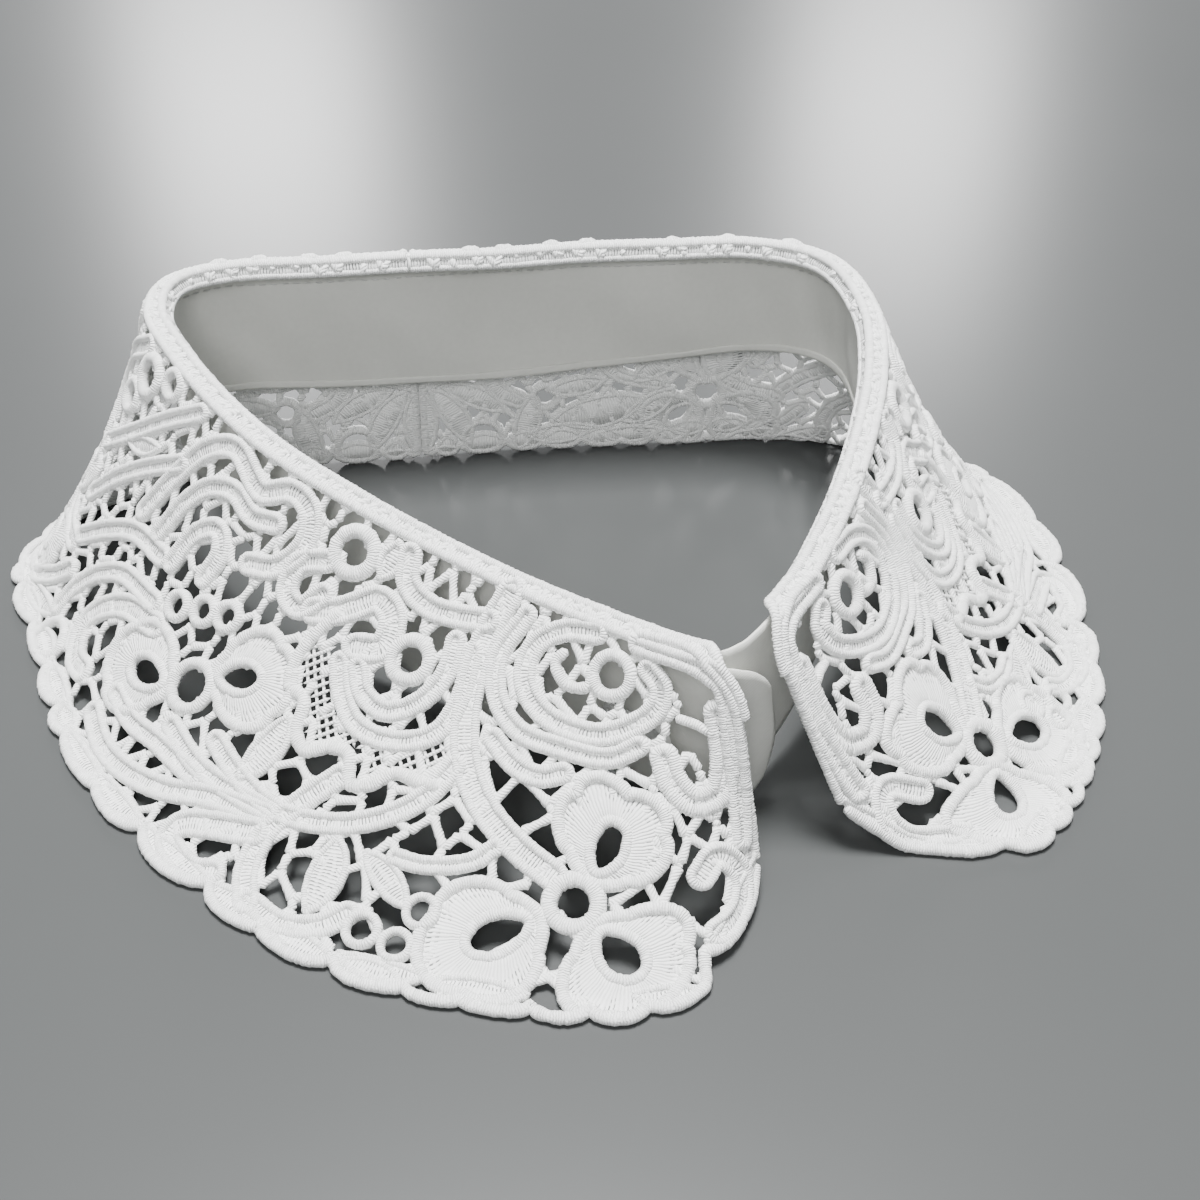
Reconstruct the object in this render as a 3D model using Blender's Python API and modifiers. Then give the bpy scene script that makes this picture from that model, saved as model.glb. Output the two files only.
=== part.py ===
"""Detachable collar of white guipure lace on a cotton stand band, closed at the front with one button."""

import math
from collections import namedtuple

import bmesh
import bpy
import numpy as np
from mathutils import Matrix, Vector
from mathutils.geometry import delaunay_2d_cdt

MM = 0.001

# Driving sizes, in millimetres unless a name says otherwise
LACE_WALL = 2.0
PLAIN_SHARE = 0.62
SEAM_GAP = 0.3
BACK_GAP = 0.5
GAP_COUNT = 78
GAP_AREA = 7.0
GAP_MARGIN = 3.0
FOLD_KEPT = 1.0
ROLL_DEPTH = 6.5
GAP_CORNERS = 8
GRID_STEP = 6.5
BAND_WALL = 1.2
BAND_HEM_WALL = 1.6
BAND_HEM_HEIGHT = 4.0
BAND_CLEAR = 1.3
BAND_STEP = 2.0
OVERLAP_LENGTH = 20.0
OVERLAP_OFFSET = 2.1
TUCKED_TOP = -2.2
OPEN_TOP = 0.1
END_CORNER = 8.0
BUTTONHOLE_LENGTH = 11.0
BUTTONHOLE_HEIGHT = 2.6
BUTTON_RADIUS = 4.5
BUTTON_THICKNESS = 2.2
BUTTON_RIM = 0.7
SHANK_RADIUS = 1.0
BUTTON_FROM_TIP = 22.6
BUTTON_DROP = 20.0
BUTTON_SIDES = 28
CORD_GAP = 0.12
NECK_STRIP = 4.6
HEM_CORD = 1.9
BAR_WIDTH = 1.1
BAR_CELL = 6.4
ROLL_RADIUS = 1.5
ROLL_END_ANGLE = 207.0
FOLD_RADIUS = 2.0
BACK_ROW = 14
MIDDLE_X = -0.25
MIDDLE_Y = -0.95
SPAN = 250.0
PETAL_FAN = 132.0
RIGHT_FRONT_CUT = 9.0
FRONT_CUT_END = 0.06
LEFT_FRONT_GROWTH = 3.6
GROWTH_END = 0.055
NECK_CORNER = 12.0
OVERLAP_START = 6.6
RAY_STEP = 0.2
CELL = 0.24
FIRST_ROW = 8.0
ROLL_ROWS = (0.9, 1.75, 2.6, 3.6, 4.9)
FOLD_ROWS = (-1.2, 1.8)
CLEAR_OF_FOLD = 3.0
CLEAR_OF_GAP = 1.7
CLEAR_OF_HEM = 2.0
CLEAR_OF_CORNER = 1.0

# The band's left end leaves the neckline and turns across the front, in plan
LEFT_END = ((8.2, -53.3), (4.8, -54.3), (1.6, -54.9), (-1.4, -54.5), (-4.0, -52.6), (-6.3, -49.6),
            (-8.6, -45.9))
LEFT_END_HEIGHT = 35.7

# The band's height from its seam down, by share of its length from the left tip
BandHeight = namedtuple("BandHeight", "along height")
BAND_HEIGHTS = [BandHeight(*row) for row in (
    (0.0, 35.5), (0.08, 35.5), (0.22, 31.0), (0.36, 26.5), (0.46, 27.6), (0.54, 27.4), (0.61, 25.4),
    (0.67, 22.4), (0.72, 20.0), (0.80, 22.0), (0.90, 29.0), (1.0, 34.5),
)]

# The collar's form, a row for each section across the lace, from the left front round to the right
Section = namedtuple("Section", "neck_x neck_y neck_z hem_x hem_y sag foot")
SECTIONS = [Section(*row) for row in (
    (0.2, -58.2, 35.7, -2.6, -73.6, 2, 3.0), (-6.4, -50.0, 34.7, -7.6, -81.8, 5, 3.5),
    (-10.5, -43.0, 33.7, -18.0, -88.6, 9, 4.0), (-15.0, -35.5, 33.2, -38.0, -87.0, 13, 5.0),
    (-24.0, -22.5, 33.7, -70.5, -64.0, 14, 5.0), (-34.5, -8.0, 36.2, -88.5, -36.5, 13, 5.0),
    (-44.5, 6.0, 39.7, -98.5, -11.0, 11, 5.0), (-53.5, 21.0, 43.2, -103.0, 13.5, 9, 5.0),
    (-59.5, 37.5, 46.2, -103.0, 41.0, 7, 5.0), (-63.0, 55.0, 48.7, -102.5, 66.0, 6, 5.0),
    (-63.5, 68.0, 49.7, -90.0, 81.0, 5, 4.0), (-58.0, 78.0, 50.2, -70.5, 85.5, 4, 3.0),
    (-46.0, 79.5, 50.2, -51.5, 84.6, 2, 2.5), (-28.5, 75.0, 49.7, -31.2, 80.0, 2, 2.5),
    (-11.5, 70.0, 49.7, -11.4, 75.4, 2, 2.5), (6.0, 65.0, 49.2, 7.9, 70.1, 2, 2.5),
    (23.0, 59.5, 49.7, 25.8, 64.1, 2, 2.5), (39.5, 53.5, 49.7, 43.4, 57.5, 3, 2.5),
    (55.5, 46.0, 50.2, 62.5, 50.8, 5, 3.0), (66.0, 33.0, 50.2, 84.0, 38.6, 8, 5.0),
    (64.5, 15.0, 48.7, 102.0, 15.5, 10, 6.0), (56.5, -1.5, 46.7, 100.0, -13.5, 11, 7.0),
    (46.0, -16.0, 44.2, 88.5, -41.0, 13, 8.0), (33.5, -30.0, 41.7, 71.0, -66.0, 16, 9.0),
    (20.5, -41.5, 38.2, 47.0, -83.5, 16, 10.0), (13.0, -46.5, 36.7, 28.5, -80.5, 12, 7.0),
    (9.2, -48.8, 36.5, 23.0, -77.5, 7, 4.0), (5.2, -51.2, 36.2, 18.0, -74.0, 3, 3.0),
)]

# Places on the lace are pairs: along, 0 at the front edge to 1 at the centre back, and drop, 0 at the neck
# to 1 at the hem. Both halves use the same tables
Cord = namedtuple("Cord", "name width strands route")
CORDS = [Cord(*row) for row in (
    ("front edge", 2.0, 2, ((0.075, 0.08), (0.040, 0.09), (0.020, 0.13), (0.012, 0.20), (0.012, 0.40),
        (0.014, 0.52), (0.019, 0.62))),
    ("front hook", 2.4, 2, ((0.021, 0.26), (0.022, 0.42), (0.034, 0.52), (0.056, 0.52), (0.070, 0.45),
        (0.073, 0.38))),
    ("hook brace", 1.6, 1, ((0.030, 0.33), (0.040, 0.30), (0.055, 0.275))),
    ("shell inner", 2.0, 2, ((0.070, 0.145), (0.062, 0.19), (0.070, 0.25), (0.096, 0.30), (0.124, 0.325),
        (0.152, 0.305), (0.170, 0.24), (0.168, 0.16), (0.146, 0.105), (0.116, 0.085))),
    ("shell outer", 1.8, 2, ((0.090, 0.345), (0.112, 0.375), (0.140, 0.37), (0.166, 0.355), (0.186, 0.29),
        (0.192, 0.20), (0.180, 0.10))),
    ("shell coil", 2.0, 1, ((0.121, 0.16), (0.124, 0.215), (0.140, 0.225), (0.150, 0.185),
        (0.142, 0.145))),
    ("shell fringe", 1.9, 2, ((0.137, 0.425), (0.150, 0.445), (0.164, 0.43), (0.180, 0.385))),
    ("main stem", 2.5, 2, ((0.200, 0.07), (0.207, 0.17), (0.205, 0.30), (0.195, 0.42), (0.178, 0.52),
        (0.157, 0.60), (0.137, 0.66))),
    ("cross stem", 2.0, 2, ((0.196, 0.47), (0.206, 0.56), (0.225, 0.64), (0.250, 0.70), (0.282, 0.735),
        (0.318, 0.72), (0.350, 0.69))),
    ("low stem", 1.6, 2, ((0.163, 0.62), (0.172, 0.665), (0.190, 0.695), (0.206, 0.70))),
    ("scroll outer", 2.2, 2, ((0.210, 0.145), (0.235, 0.165), (0.262, 0.175), (0.286, 0.150),
        (0.296, 0.09))),
    ("scroll first", 1.9, 2, ((0.213, 0.22), (0.209, 0.33), (0.216, 0.42), (0.240, 0.475), (0.268, 0.485),
        (0.290, 0.44), (0.305, 0.38))),
    ("scroll second", 1.9, 2, ((0.229, 0.215), (0.226, 0.29), (0.235, 0.37), (0.254, 0.425),
        (0.276, 0.415), (0.290, 0.37))),
    ("wave", 2.5, 1, ((0.197, 0.52), (0.212, 0.53), (0.228, 0.535), (0.240, 0.585), (0.252, 0.60),
        (0.262, 0.55), (0.276, 0.555), (0.290, 0.59), (0.304, 0.565), (0.312, 0.50), (0.330, 0.485),
        (0.336, 0.42), (0.333, 0.35), (0.325, 0.28))),
    ("snail", 2.6, 2, ((0.300, 0.335), (0.281, 0.305), (0.284, 0.24), (0.302, 0.215), (0.317, 0.255),
        (0.330, 0.29), (0.346, 0.315))),
    ("fall stem", 2.3, 2, ((0.260, 0.60), (0.271, 0.68), (0.279, 0.78), (0.275, 0.87), (0.262, 0.94))),
    ("hem curl", 2.2, 2, ((0.262, 0.93), (0.240, 0.935), (0.223, 0.90), (0.214, 0.85))),
    ("loop curl", 2.6, 2, ((0.285, 0.80), (0.310, 0.84), (0.327, 0.88), (0.326, 0.93), (0.303, 0.95),
        (0.290, 0.925))),
    ("crescent top", 2.2, 2, ((0.286, 0.755), (0.325, 0.795), (0.356, 0.85), (0.390, 0.885),
        (0.425, 0.895), (0.455, 0.87))),
    ("wing stem", 2.0, 2, ((0.388, 0.735), (0.350, 0.76), (0.315, 0.755), (0.285, 0.745))),
    ("wing low", 2.0, 2, ((0.450, 0.79), (0.420, 0.80), (0.385, 0.785), (0.345, 0.785))),
    ("tulip outer", 2.3, 2, ((0.552, 0.44), (0.540, 0.30), (0.522, 0.17), (0.492, 0.105), (0.462, 0.135),
        (0.444, 0.15), (0.420, 0.105), (0.395, 0.125), (0.384, 0.20), (0.396, 0.28), (0.420, 0.315))),
    ("tulip middle", 2.1, 2, ((0.520, 0.44), (0.512, 0.32), (0.496, 0.235), (0.470, 0.195),
        (0.442, 0.215), (0.418, 0.195))),
    ("tulip inner", 2.1, 2, ((0.488, 0.46), (0.484, 0.36), (0.466, 0.30), (0.450, 0.34), (0.450, 0.42))),
    ("bud", 2.2, 2, ((0.358, 0.20), (0.378, 0.24), (0.376, 0.31), (0.358, 0.33), (0.346, 0.27))),
    ("band one", 2.0, 2, ((0.548, 0.10), (0.585, 0.20), (0.625, 0.33), (0.662, 0.45))),
    ("band two", 2.0, 2, ((0.540, 0.25), (0.575, 0.34), (0.608, 0.45), (0.632, 0.57))),
    ("band three", 2.2, 2, ((0.500, 0.47), (0.545, 0.50), (0.580, 0.58), (0.606, 0.67))),
    ("side curl", 2.6, 2, ((0.462, 0.60), (0.500, 0.64), (0.524, 0.72), (0.530, 0.80), (0.512, 0.86),
        (0.494, 0.85))),
    ("side curl inner", 2.1, 2, ((0.478, 0.565), (0.525, 0.60), (0.555, 0.68), (0.570, 0.78),
        (0.572, 0.86))),
    ("side low", 2.2, 2, ((0.590, 0.76), (0.605, 0.83), (0.628, 0.90))),
    ("side scroll", 2.4, 2, ((0.664, 0.46), (0.676, 0.56), (0.668, 0.645), (0.640, 0.70), (0.612, 0.71))),
    ("back scroll", 2.4, 2, ((0.664, 0.10), (0.698, 0.20), (0.704, 0.34), (0.686, 0.46))),
    ("back arch", 2.2, 2, ((0.722, 0.10), (0.738, 0.23), (0.765, 0.30), (0.796, 0.27), (0.812, 0.17),
        (0.812, 0.09))),
    ("back arch low", 2.1, 2, ((0.708, 0.38), (0.742, 0.44), (0.790, 0.44), (0.832, 0.36), (0.848, 0.22),
        (0.850, 0.09))),
    ("back stem", 2.0, 2, ((0.796, 0.44), (0.800, 0.55), (0.775, 0.65), (0.735, 0.69))),
    ("back rise", 2.2, 2, ((0.806, 0.56), (0.850, 0.60), (0.888, 0.55), (0.900, 0.42), (0.893, 0.26),
        (0.900, 0.09))),
    ("back finger", 2.4, 2, ((0.910, 0.48), (0.924, 0.58), (0.912, 0.69), (0.890, 0.74))),
    ("centre stem", 2.0, 2, ((0.915, 0.26), (0.945, 0.33), (0.980, 0.43), (1.0, 0.52))),
    ("centre arch", 2.2, 2, ((0.935, 0.09), (0.950, 0.17), (0.975, 0.22), (1.0, 0.23))),
    ("centre arch low", 2.0, 2, ((0.932, 0.54), (0.955, 0.57), (0.980, 0.62), (1.0, 0.64))),
)]
Ring = namedtuple("Ring", "along drop radius width")
RINGS = [Ring(*row) for row in (
    (0.104, 0.175, 3.4, 2.2), (0.1276, 0.715, 3.9, 2.8), (0.256, 0.300, 3.5, 2.5),
    (0.341, 0.150, 3.8, 2.8), (0.397, 0.635, 4.3, 2.3), (0.408, 0.450, 2.4, 1.8),
    (0.431, 0.480, 2.4, 1.8), (0.456, 0.520, 2.4, 1.8), (0.184, 0.795, 2.5, 1.5),
    (0.548, 0.930, 4.6, 2.0), (0.640, 0.160, 3.6, 2.5),
    (0.600, 0.110, 2.6, 2.0), (0.765, 0.165, 3.6, 2.5), (0.680, 0.735, 3.7, 2.6),
    (0.874, 0.165, 3.0, 2.2), (0.932, 0.915, 4.4, 2.0), (0.956, 0.420, 3.0, 2.0),
    (0.860, 0.735, 2.9, 2.0), (0.870, 0.42, 3.2, 2.2), (0.204, 0.870, 2.6, 1.6), (0.188, 0.880, 2.4, 1.5),
    (0.655, 0.26, 3.0, 2.0), (0.720, 0.57, 3.0, 2.0),
)]
Petal = namedtuple("Petal", "along drop turn length width lobes")
PETALS = [Petal(*row) for row in (
    (0.1250, 0.697, -119, 19.0, 26.0, 4), (0.1248, 0.728, 132, 21.5, 25.0, 3),
    (0.1335, 0.731, 33, 20.5, 24.0, 3), (0.391, 0.590, -150, 17.0, 20.0, 3),
    (0.408, 0.672, 12, 18.5, 20.0, 3), (0.680, 0.700, -90, 15.0, 19.5, 3),
    (0.674, 0.765, 140, 15.0, 18.5, 3), (0.688, 0.765, 40, 15.0, 18.5, 3),
)]
Leaf = namedtuple("Leaf", "along drop turn length width")
LEAVES = [Leaf(*row) for row in (
    (0.316, 0.635, 86, 13.5, 6.4), (0.236, 0.800, 100, 13.0, 7.0), (0.190, 0.935, 5, 15.0, 5.0),
    (0.155, 0.935, 0, 14.0, 5.5), (0.018, 0.735, 62, 17.0, 8.0), (0.048, 0.70, 80, 14.0, 5.6),
    (0.064, 0.885, 100, 12.0, 8.4), (0.049, 0.84, 95, 13.0, 5.0), (0.206, 0.755, 150, 12.0, 5.2),
    (0.600, 0.905, 18, 16.0, 5.6), (0.735, 0.59, 40, 14.0, 6.0), (0.800, 0.80, 12, 20.0, 9.0),
    (0.845, 0.90, 5, 15.0, 6.0), (0.884, 0.85, 75, 15.0, 6.4), (1.0, 0.82, 90, 18.0, 6.4),
    (0.966, 0.80, 118, 17.0, 6.4), (0.940, 0.72, 150, 15.0, 6.0), (0.765, 0.92, 0, 14.0, 5.4),
    (0.725, 0.94, 0, 10.0, 5.0), (0.380, 0.945, 0, 16.0, 5.4), (0.430, 0.955, 0, 16.0, 5.0),
    (0.500, 0.935, 0, 14.0, 5.0), (0.245, 0.98, 0, 10.0, 4.0), (0.095, 0.945, 0, 10.0, 5.0),
    (0.640, 0.93, 5, 12.0, 5.4), (0.745, 0.79, 35, 14.0, 6.4), (0.600, 0.31, 30, 12.0, 4.4),
    (0.975, 0.96, 0, 9.0, 4.0), (0.825, 0.68, 10, 13.0, 5.4), (0.660, 0.88, 0, 9.0, 5.0),
    (0.700, 0.90, 0, 9.0, 5.0), (0.310, 0.125, 90, 7.0, 5.0),
)]
Notch = namedtuple("Notch", "along depth")
NOTCHES = [Notch(*row) for row in (
    (0.000, 5.0), (0.074, 4.2), (0.101, 2.8), (0.121, 3.2), (0.139, 2.0), (0.160, 1.3), (0.178, 1.6),
    (0.208, 3.6), (0.247, 1.8), (0.286, 4.6), (0.347, 4.8), (0.396, 1.6), (0.455, 1.8),
    (0.482, 4.6), (0.523, 2.8), (0.572, 2.6), (0.625, 4.2), (0.650, 1.6), (0.680, 2.2), (0.710, 1.6),
    (0.738, 3.6), (0.775, 1.6), (0.820, 3.4), (0.865, 2.4), (0.905, 3.6), (0.958, 3.4), (0.984, 2.0),
    (1.016, 2.0),
)]
NET = ((0.196, 0.42), (0.213, 0.43), (0.230, 0.475), (0.262, 0.50), (0.290, 0.475), (0.306, 0.41),
       (0.318, 0.33), (0.332, 0.37), (0.334, 0.45), (0.312, 0.49), (0.298, 0.57), (0.285, 0.58),
       (0.262, 0.53), (0.248, 0.58), (0.232, 0.55), (0.206, 0.51))

OPEN_PLACES = (
    ((0.040, 0.305), (0.050, 0.285), (0.056, 0.305), (0.049, 0.367), (0.047, 0.420), (0.042, 0.450),
     (0.034, 0.430), (0.031, 0.390), (0.031, 0.345)),
    ((0.043, 0.180), (0.031, 0.170), (0.029, 0.230), (0.030, 0.275), (0.045, 0.255)),
    ((0.066, 0.120), (0.057, 0.106), (0.044, 0.112), (0.040, 0.135), (0.046, 0.150), (0.055, 0.134)),
)


def smooth(rows, steps):
    """Catmull-Rom points through rows, with steps points to a row."""
    rows = np.asarray(rows, float)
    ends = np.vstack([2 * rows[0] - rows[1], rows, 2 * rows[-1] - rows[-2]])
    share = (np.arange(steps) / steps)[:, None]
    runs = []
    for i in range(1, len(ends) - 2):
        a, b, c, d = ends[i - 1:i + 3]
        runs.append(0.5 * (2 * b + (c - a) * share + (2 * a - 5 * b + 4 * c - d) * share ** 2
                           + (3 * b - a - 3 * c + d) * share ** 3))
    runs.append(ends[-2][None])
    return np.vstack(runs)


def even(points, count):
    """The same polyline with count points at even distances, and its length."""
    points = np.asarray(points, float)
    run = np.r_[0, np.cumsum(np.linalg.norm(np.diff(points, axis=0), axis=1))]
    marks = np.linspace(0, run[-1], count)
    return np.stack([np.interp(marks, run, column) for column in points.T], 1), run[-1]


def section_points(section, square, count=97):
    """Underside of the lace at one section, from the inner lip over the roll to the hem, and its length.

    The roll lies square to the neckline, and the fall below it goes straight to the hem.
    """
    outward = np.array([section.hem_x - section.neck_x, section.hem_y - section.neck_y])
    reach = np.linalg.norm(outward)
    outward /= reach
    slope = math.atan2(section.neck_z, reach - section.foot)
    top_slope = slope + math.radians(section.sag)
    low_slope = slope - math.radians(section.sag)
    angles = np.radians(np.linspace(ROLL_END_ANGLE, 90 - math.degrees(top_slope), 14))
    roll = np.stack([ROLL_RADIUS * np.cos(angles), section.neck_z + ROLL_RADIUS * np.sin(angles)], 1)
    foot = np.array([reach - section.foot, 0.0])
    handle = 0.35 * np.linalg.norm(foot - roll[-1])
    top_handle = roll[-1] + handle * np.array([math.cos(top_slope), -math.sin(top_slope)])
    low_handle = foot - handle * np.array([math.cos(low_slope), -math.sin(low_slope)])
    s = np.linspace(0, 1, 60)[1:, None]
    fall = ((1 - s) ** 3 * roll[-1] + 3 * (1 - s) ** 2 * s * top_handle
            + 3 * (1 - s) * s ** 2 * low_handle + s ** 3 * foot)
    fold = min(FOLD_RADIUS, 0.8 * section.foot)
    fall = fall[np.linalg.norm(fall - foot, axis=1) > fold]
    s = np.linspace(0, 1, 9)[1:, None]
    bend = (1 - s) ** 2 * fall[-1] + 2 * (1 - s) * s * foot + s ** 2 * (foot + np.array([fold, 0.0]))
    profile, length = even(np.vstack([roll, fall, bend, [[reach, 0.0]]]), count)
    over_roll = np.minimum(profile[:, 0], roll[-1, 0])
    past_roll = (profile[:, 0] - over_roll) * reach / (reach - roll[-1, 0])
    past_roll -= past_roll * roll[-1, 0] / reach
    x = section.neck_x + square[0] * over_roll + outward[0] * past_roll - MIDDLE_X
    y = section.neck_y + square[1] * over_roll + outward[1] * past_roll - MIDDLE_Y
    return np.stack([x, y, profile[:, 1]], 1), length


class Half:
    """One half of the lace's underside, read by along and drop, and by a height above it."""

    def __init__(self, side, rows=161, columns=97):
        dense = smooth(SECTIONS, 24)
        forward = np.gradient(dense[:, :2], axis=0)
        forward /= np.linalg.norm(forward, axis=1)[:, None]
        dense = np.column_stack([dense, -forward[:, 1], forward[:, 0]])
        middle = BACK_ROW * 24
        dense = dense[:middle + 1] if side == "left" else dense[middle:][::-1]
        run = np.r_[0, np.cumsum(np.linalg.norm(np.diff(dense[:, :3], axis=0), axis=1))]
        growth = LEFT_FRONT_GROWTH if side == "left" else 0.0
        share = np.linspace(0, 1, rows)
        marks = share * (run[-1] - growth) + growth * np.clip(share / GROWTH_END, 0, 1)
        dense = np.stack([np.interp(marks, run, column) for column in dense.T], 1)
        sections = [section_points(Section(*row[:7]), row[7:], columns) for row in dense]
        self.length = run[-1]
        self.front_cut = 0.0 if side == "left" else RIGHT_FRONT_CUT
        self.foot = dense[:, 6]
        self.depth = np.array([length for points, length in sections])
        self.table = np.array([points for points, length in sections])
        normal = np.cross(np.gradient(self.table, axis=0), np.gradient(self.table, axis=1))
        normal *= np.sign(normal[rows // 2, columns // 2, 2])
        self.normal = normal / np.linalg.norm(normal, axis=2)[..., None]

    def read(self, table, along, drop):
        """Value of a table between its rows and columns."""
        rows, columns = self.table.shape[:2]
        x = np.clip(np.asarray(along, float), 0, 1) * (rows - 1)
        y = np.clip(np.asarray(drop, float), 0, 1) * (columns - 1)
        i = np.minimum(x.astype(int), rows - 2)
        j = np.minimum(y.astype(int), columns - 2)
        fx = (x - i)[..., None]
        fy = (y - j)[..., None]
        near = table[i, j] * (1 - fx) + table[i + 1, j] * fx
        far = table[i, j + 1] * (1 - fx) + table[i + 1, j + 1] * fx
        return near * (1 - fy) + far * fy

    def across(self, along, drop):
        normal = self.read(self.normal, along, drop)
        return normal / np.linalg.norm(normal, axis=-1)[..., None]

    def at(self, along, drop, height=0.0):
        """Place on the lace, height mm outside its underside."""
        return self.read(self.table, along, drop) + self.across(along, drop) * np.asarray(height)[..., None]

    def depth_at(self, along):
        return np.interp(along, np.linspace(0, 1, len(self.depth)), self.depth)

    def steps(self, along, drop):
        """For each place, the 2 x 3 matrix that turns mm in space into along and drop."""
        along = np.asarray(along, float)
        drop = np.asarray(drop, float)
        e = 0.004
        a0, a1 = np.maximum(along - e, 0), np.minimum(along + e, 1)
        d0, d1 = np.maximum(drop - e, 0), np.minimum(drop + e, 1)
        mid_a, mid_d = np.clip(along, 0, 1), np.clip(drop, 0, 1)
        by_along = (self.at(a1, mid_d) - self.at(a0, mid_d)) / (a1 - a0)[..., None]
        by_drop = (self.at(mid_a, d1) - self.at(mid_a, d0)) / (d1 - d0)[..., None]
        return np.linalg.pinv(np.stack([by_along, by_drop], -1))

    def place(self, along, drop, outline, turn):
        """An outline in mm, turned and laid on the lace at one place; +x is to the back, +y to the hem."""
        c, s = math.cos(math.radians(turn)), math.sin(math.radians(turn))
        x = outline[:, 0] * c - outline[:, 1] * s
        y = outline[:, 0] * s + outline[:, 1] * c
        step = self.steps(along, drop)
        down = np.linalg.pinv(step)[:, 1]
        down /= np.linalg.norm(down)
        back = np.linalg.pinv(step)[:, 0]
        back -= down * (back @ down)
        back /= np.linalg.norm(back)
        return np.array([along, drop]) + np.outer(x, step @ back) + np.outer(y, step @ down)

    def shifted(self, route, offset):
        """A route moved sideways over the lace by offset mm."""
        points = self.at(route[:, 0], route[:, 1])
        forward = np.gradient(points, axis=0)
        forward /= np.linalg.norm(forward, axis=1)[:, None]
        side = np.cross(self.across(route[:, 0], route[:, 1]), forward)
        return route + np.einsum("kij,kj->ki", self.steps(route[:, 0], route[:, 1]), side * offset)


Ribbon = namedtuple("Ribbon", "route half_width closed")


def circle(radius, count=28):
    angle = np.linspace(0, 2 * math.pi, count, endpoint=False)
    return np.stack([np.cos(angle), np.sin(angle)], 1) * radius


def petal_rim(length, width, lobes, count=84):
    """Petal with its root at the origin and a lobed rim towards +x."""
    angle = np.linspace(-math.pi, math.pi, count, endpoint=False)
    x = 0.5 * length * np.cos(angle)
    y = 0.5 * width * np.sin(angle) * (0.81 + 0.19 * np.cos(angle))
    fan = np.clip(0.5 + 0.5 * angle / math.radians(PETAL_FAN), 0, 1)
    grow = 0.87 + 0.18 * np.abs(np.sin(math.pi * lobes * fan)) ** 0.6
    return np.stack([0.5 * length + x * grow, y * grow], 1)


def petal_hole(length, count=84):
    """Drop-shaped hole near the petal's root."""
    angle = np.linspace(-math.pi, math.pi, count, endpoint=False)
    x = 0.36 * length + 0.21 * length * np.cos(angle)
    y = 0.13 * length * np.sin(angle) * (1 + 0.35 * np.cos(angle))
    return np.stack([x, y], 1)


def leaf_spine(length, width, count=25):
    """Middle line of a leaf, slightly bowed, with its half widths."""
    x = np.linspace(-0.5, 0.5, count)
    round_off = np.clip(1 - (2 * x) ** 2, 0, 1)
    half_width = np.maximum(0.5 * width * round_off ** 0.6, 0.4)
    return np.stack([x * length, 0.05 * length * round_off], 1), half_width


def motif_ribbons(half):
    """Every satin cord, ring, petal and leaf of one half, and the holes that stay open."""
    ribbons = []
    holes = []
    for cord in CORDS:
        route = smooth(cord.route, 12)
        half_width = np.full(len(route), cord.width / 2)
        for k in range(cord.strands):
            offset = (k - (cord.strands - 1) / 2) * (cord.width + CORD_GAP)
            ribbons.append(Ribbon(half.shifted(route, offset), half_width, False))
    for ring in RINGS:
        line = half.place(ring.along, ring.drop, circle(ring.radius), 0)
        ribbons.append(Ribbon(line, np.full(len(line), ring.width / 2), True))
        holes.append(half.place(ring.along, ring.drop, circle(ring.radius - ring.width / 2), 0))
    for petal in PETALS:
        rim = petal_rim(petal.length, petal.width, petal.lobes)
        hole = petal_hole(petal.length)
        for share, width in ((1.0, 2.2), (0.76, 2.6), (0.52, 2.6), (0.28, 2.2), (0.10, 1.4)):
            line = half.place(petal.along, petal.drop, hole * (1 - share) + rim * share, petal.turn)
            ribbons.append(Ribbon(line, np.full(len(line), width / 2), True))
        holes.append(half.place(petal.along, petal.drop, hole, petal.turn))
    for leaf in LEAVES:
        spine, half_width = leaf_spine(leaf.length, leaf.width)
        ribbons.append(Ribbon(half.place(leaf.along, leaf.drop, spine, leaf.turn), half_width, False))
    return ribbons, holes + [np.array(outline) for outline in OPEN_PLACES]


def hem_drop(half, along):
    """Drop of the scalloped hem for each value of along."""
    along = np.asarray(along, float)
    cut = half.front_cut * np.clip(1 - along / FRONT_CUT_END, 0, 1)
    for a, b in zip(NOTCHES, NOTCHES[1:]):
        there = (along >= a.along) & (along <= b.along)
        x = (along[there] - a.along) / (b.along - a.along)
        scallop = np.clip(1 - (2 * x - 1) ** 2, 0, 1) ** 0.45
        cut[there] += (1 - scallop) * (a.depth * (1 - x) + b.depth * x)
    return 1 - cut / half.depth_at(along)


def chance(*keys):
    """An even number from 0 to 1 that depends only on the keys."""
    return math.sin(sum((k + 1) * c for k, c in zip(keys, (12.9898, 78.233, 37.719)))) * 43758.5453 % 1


def inside(outline, points):
    """Which points lie inside a closed outline."""
    x, y = points[..., 0], points[..., 1]
    found = np.zeros(x.shape, bool)
    for (xa, ya), (xb, yb) in zip(outline, np.roll(outline, -1, axis=0)):
        crosses = ((ya > y) != (yb > y)) & (x < (xb - xa) * (y - ya) / (yb - ya + 1e-12) + xa)
        found ^= crosses
    return found


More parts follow.
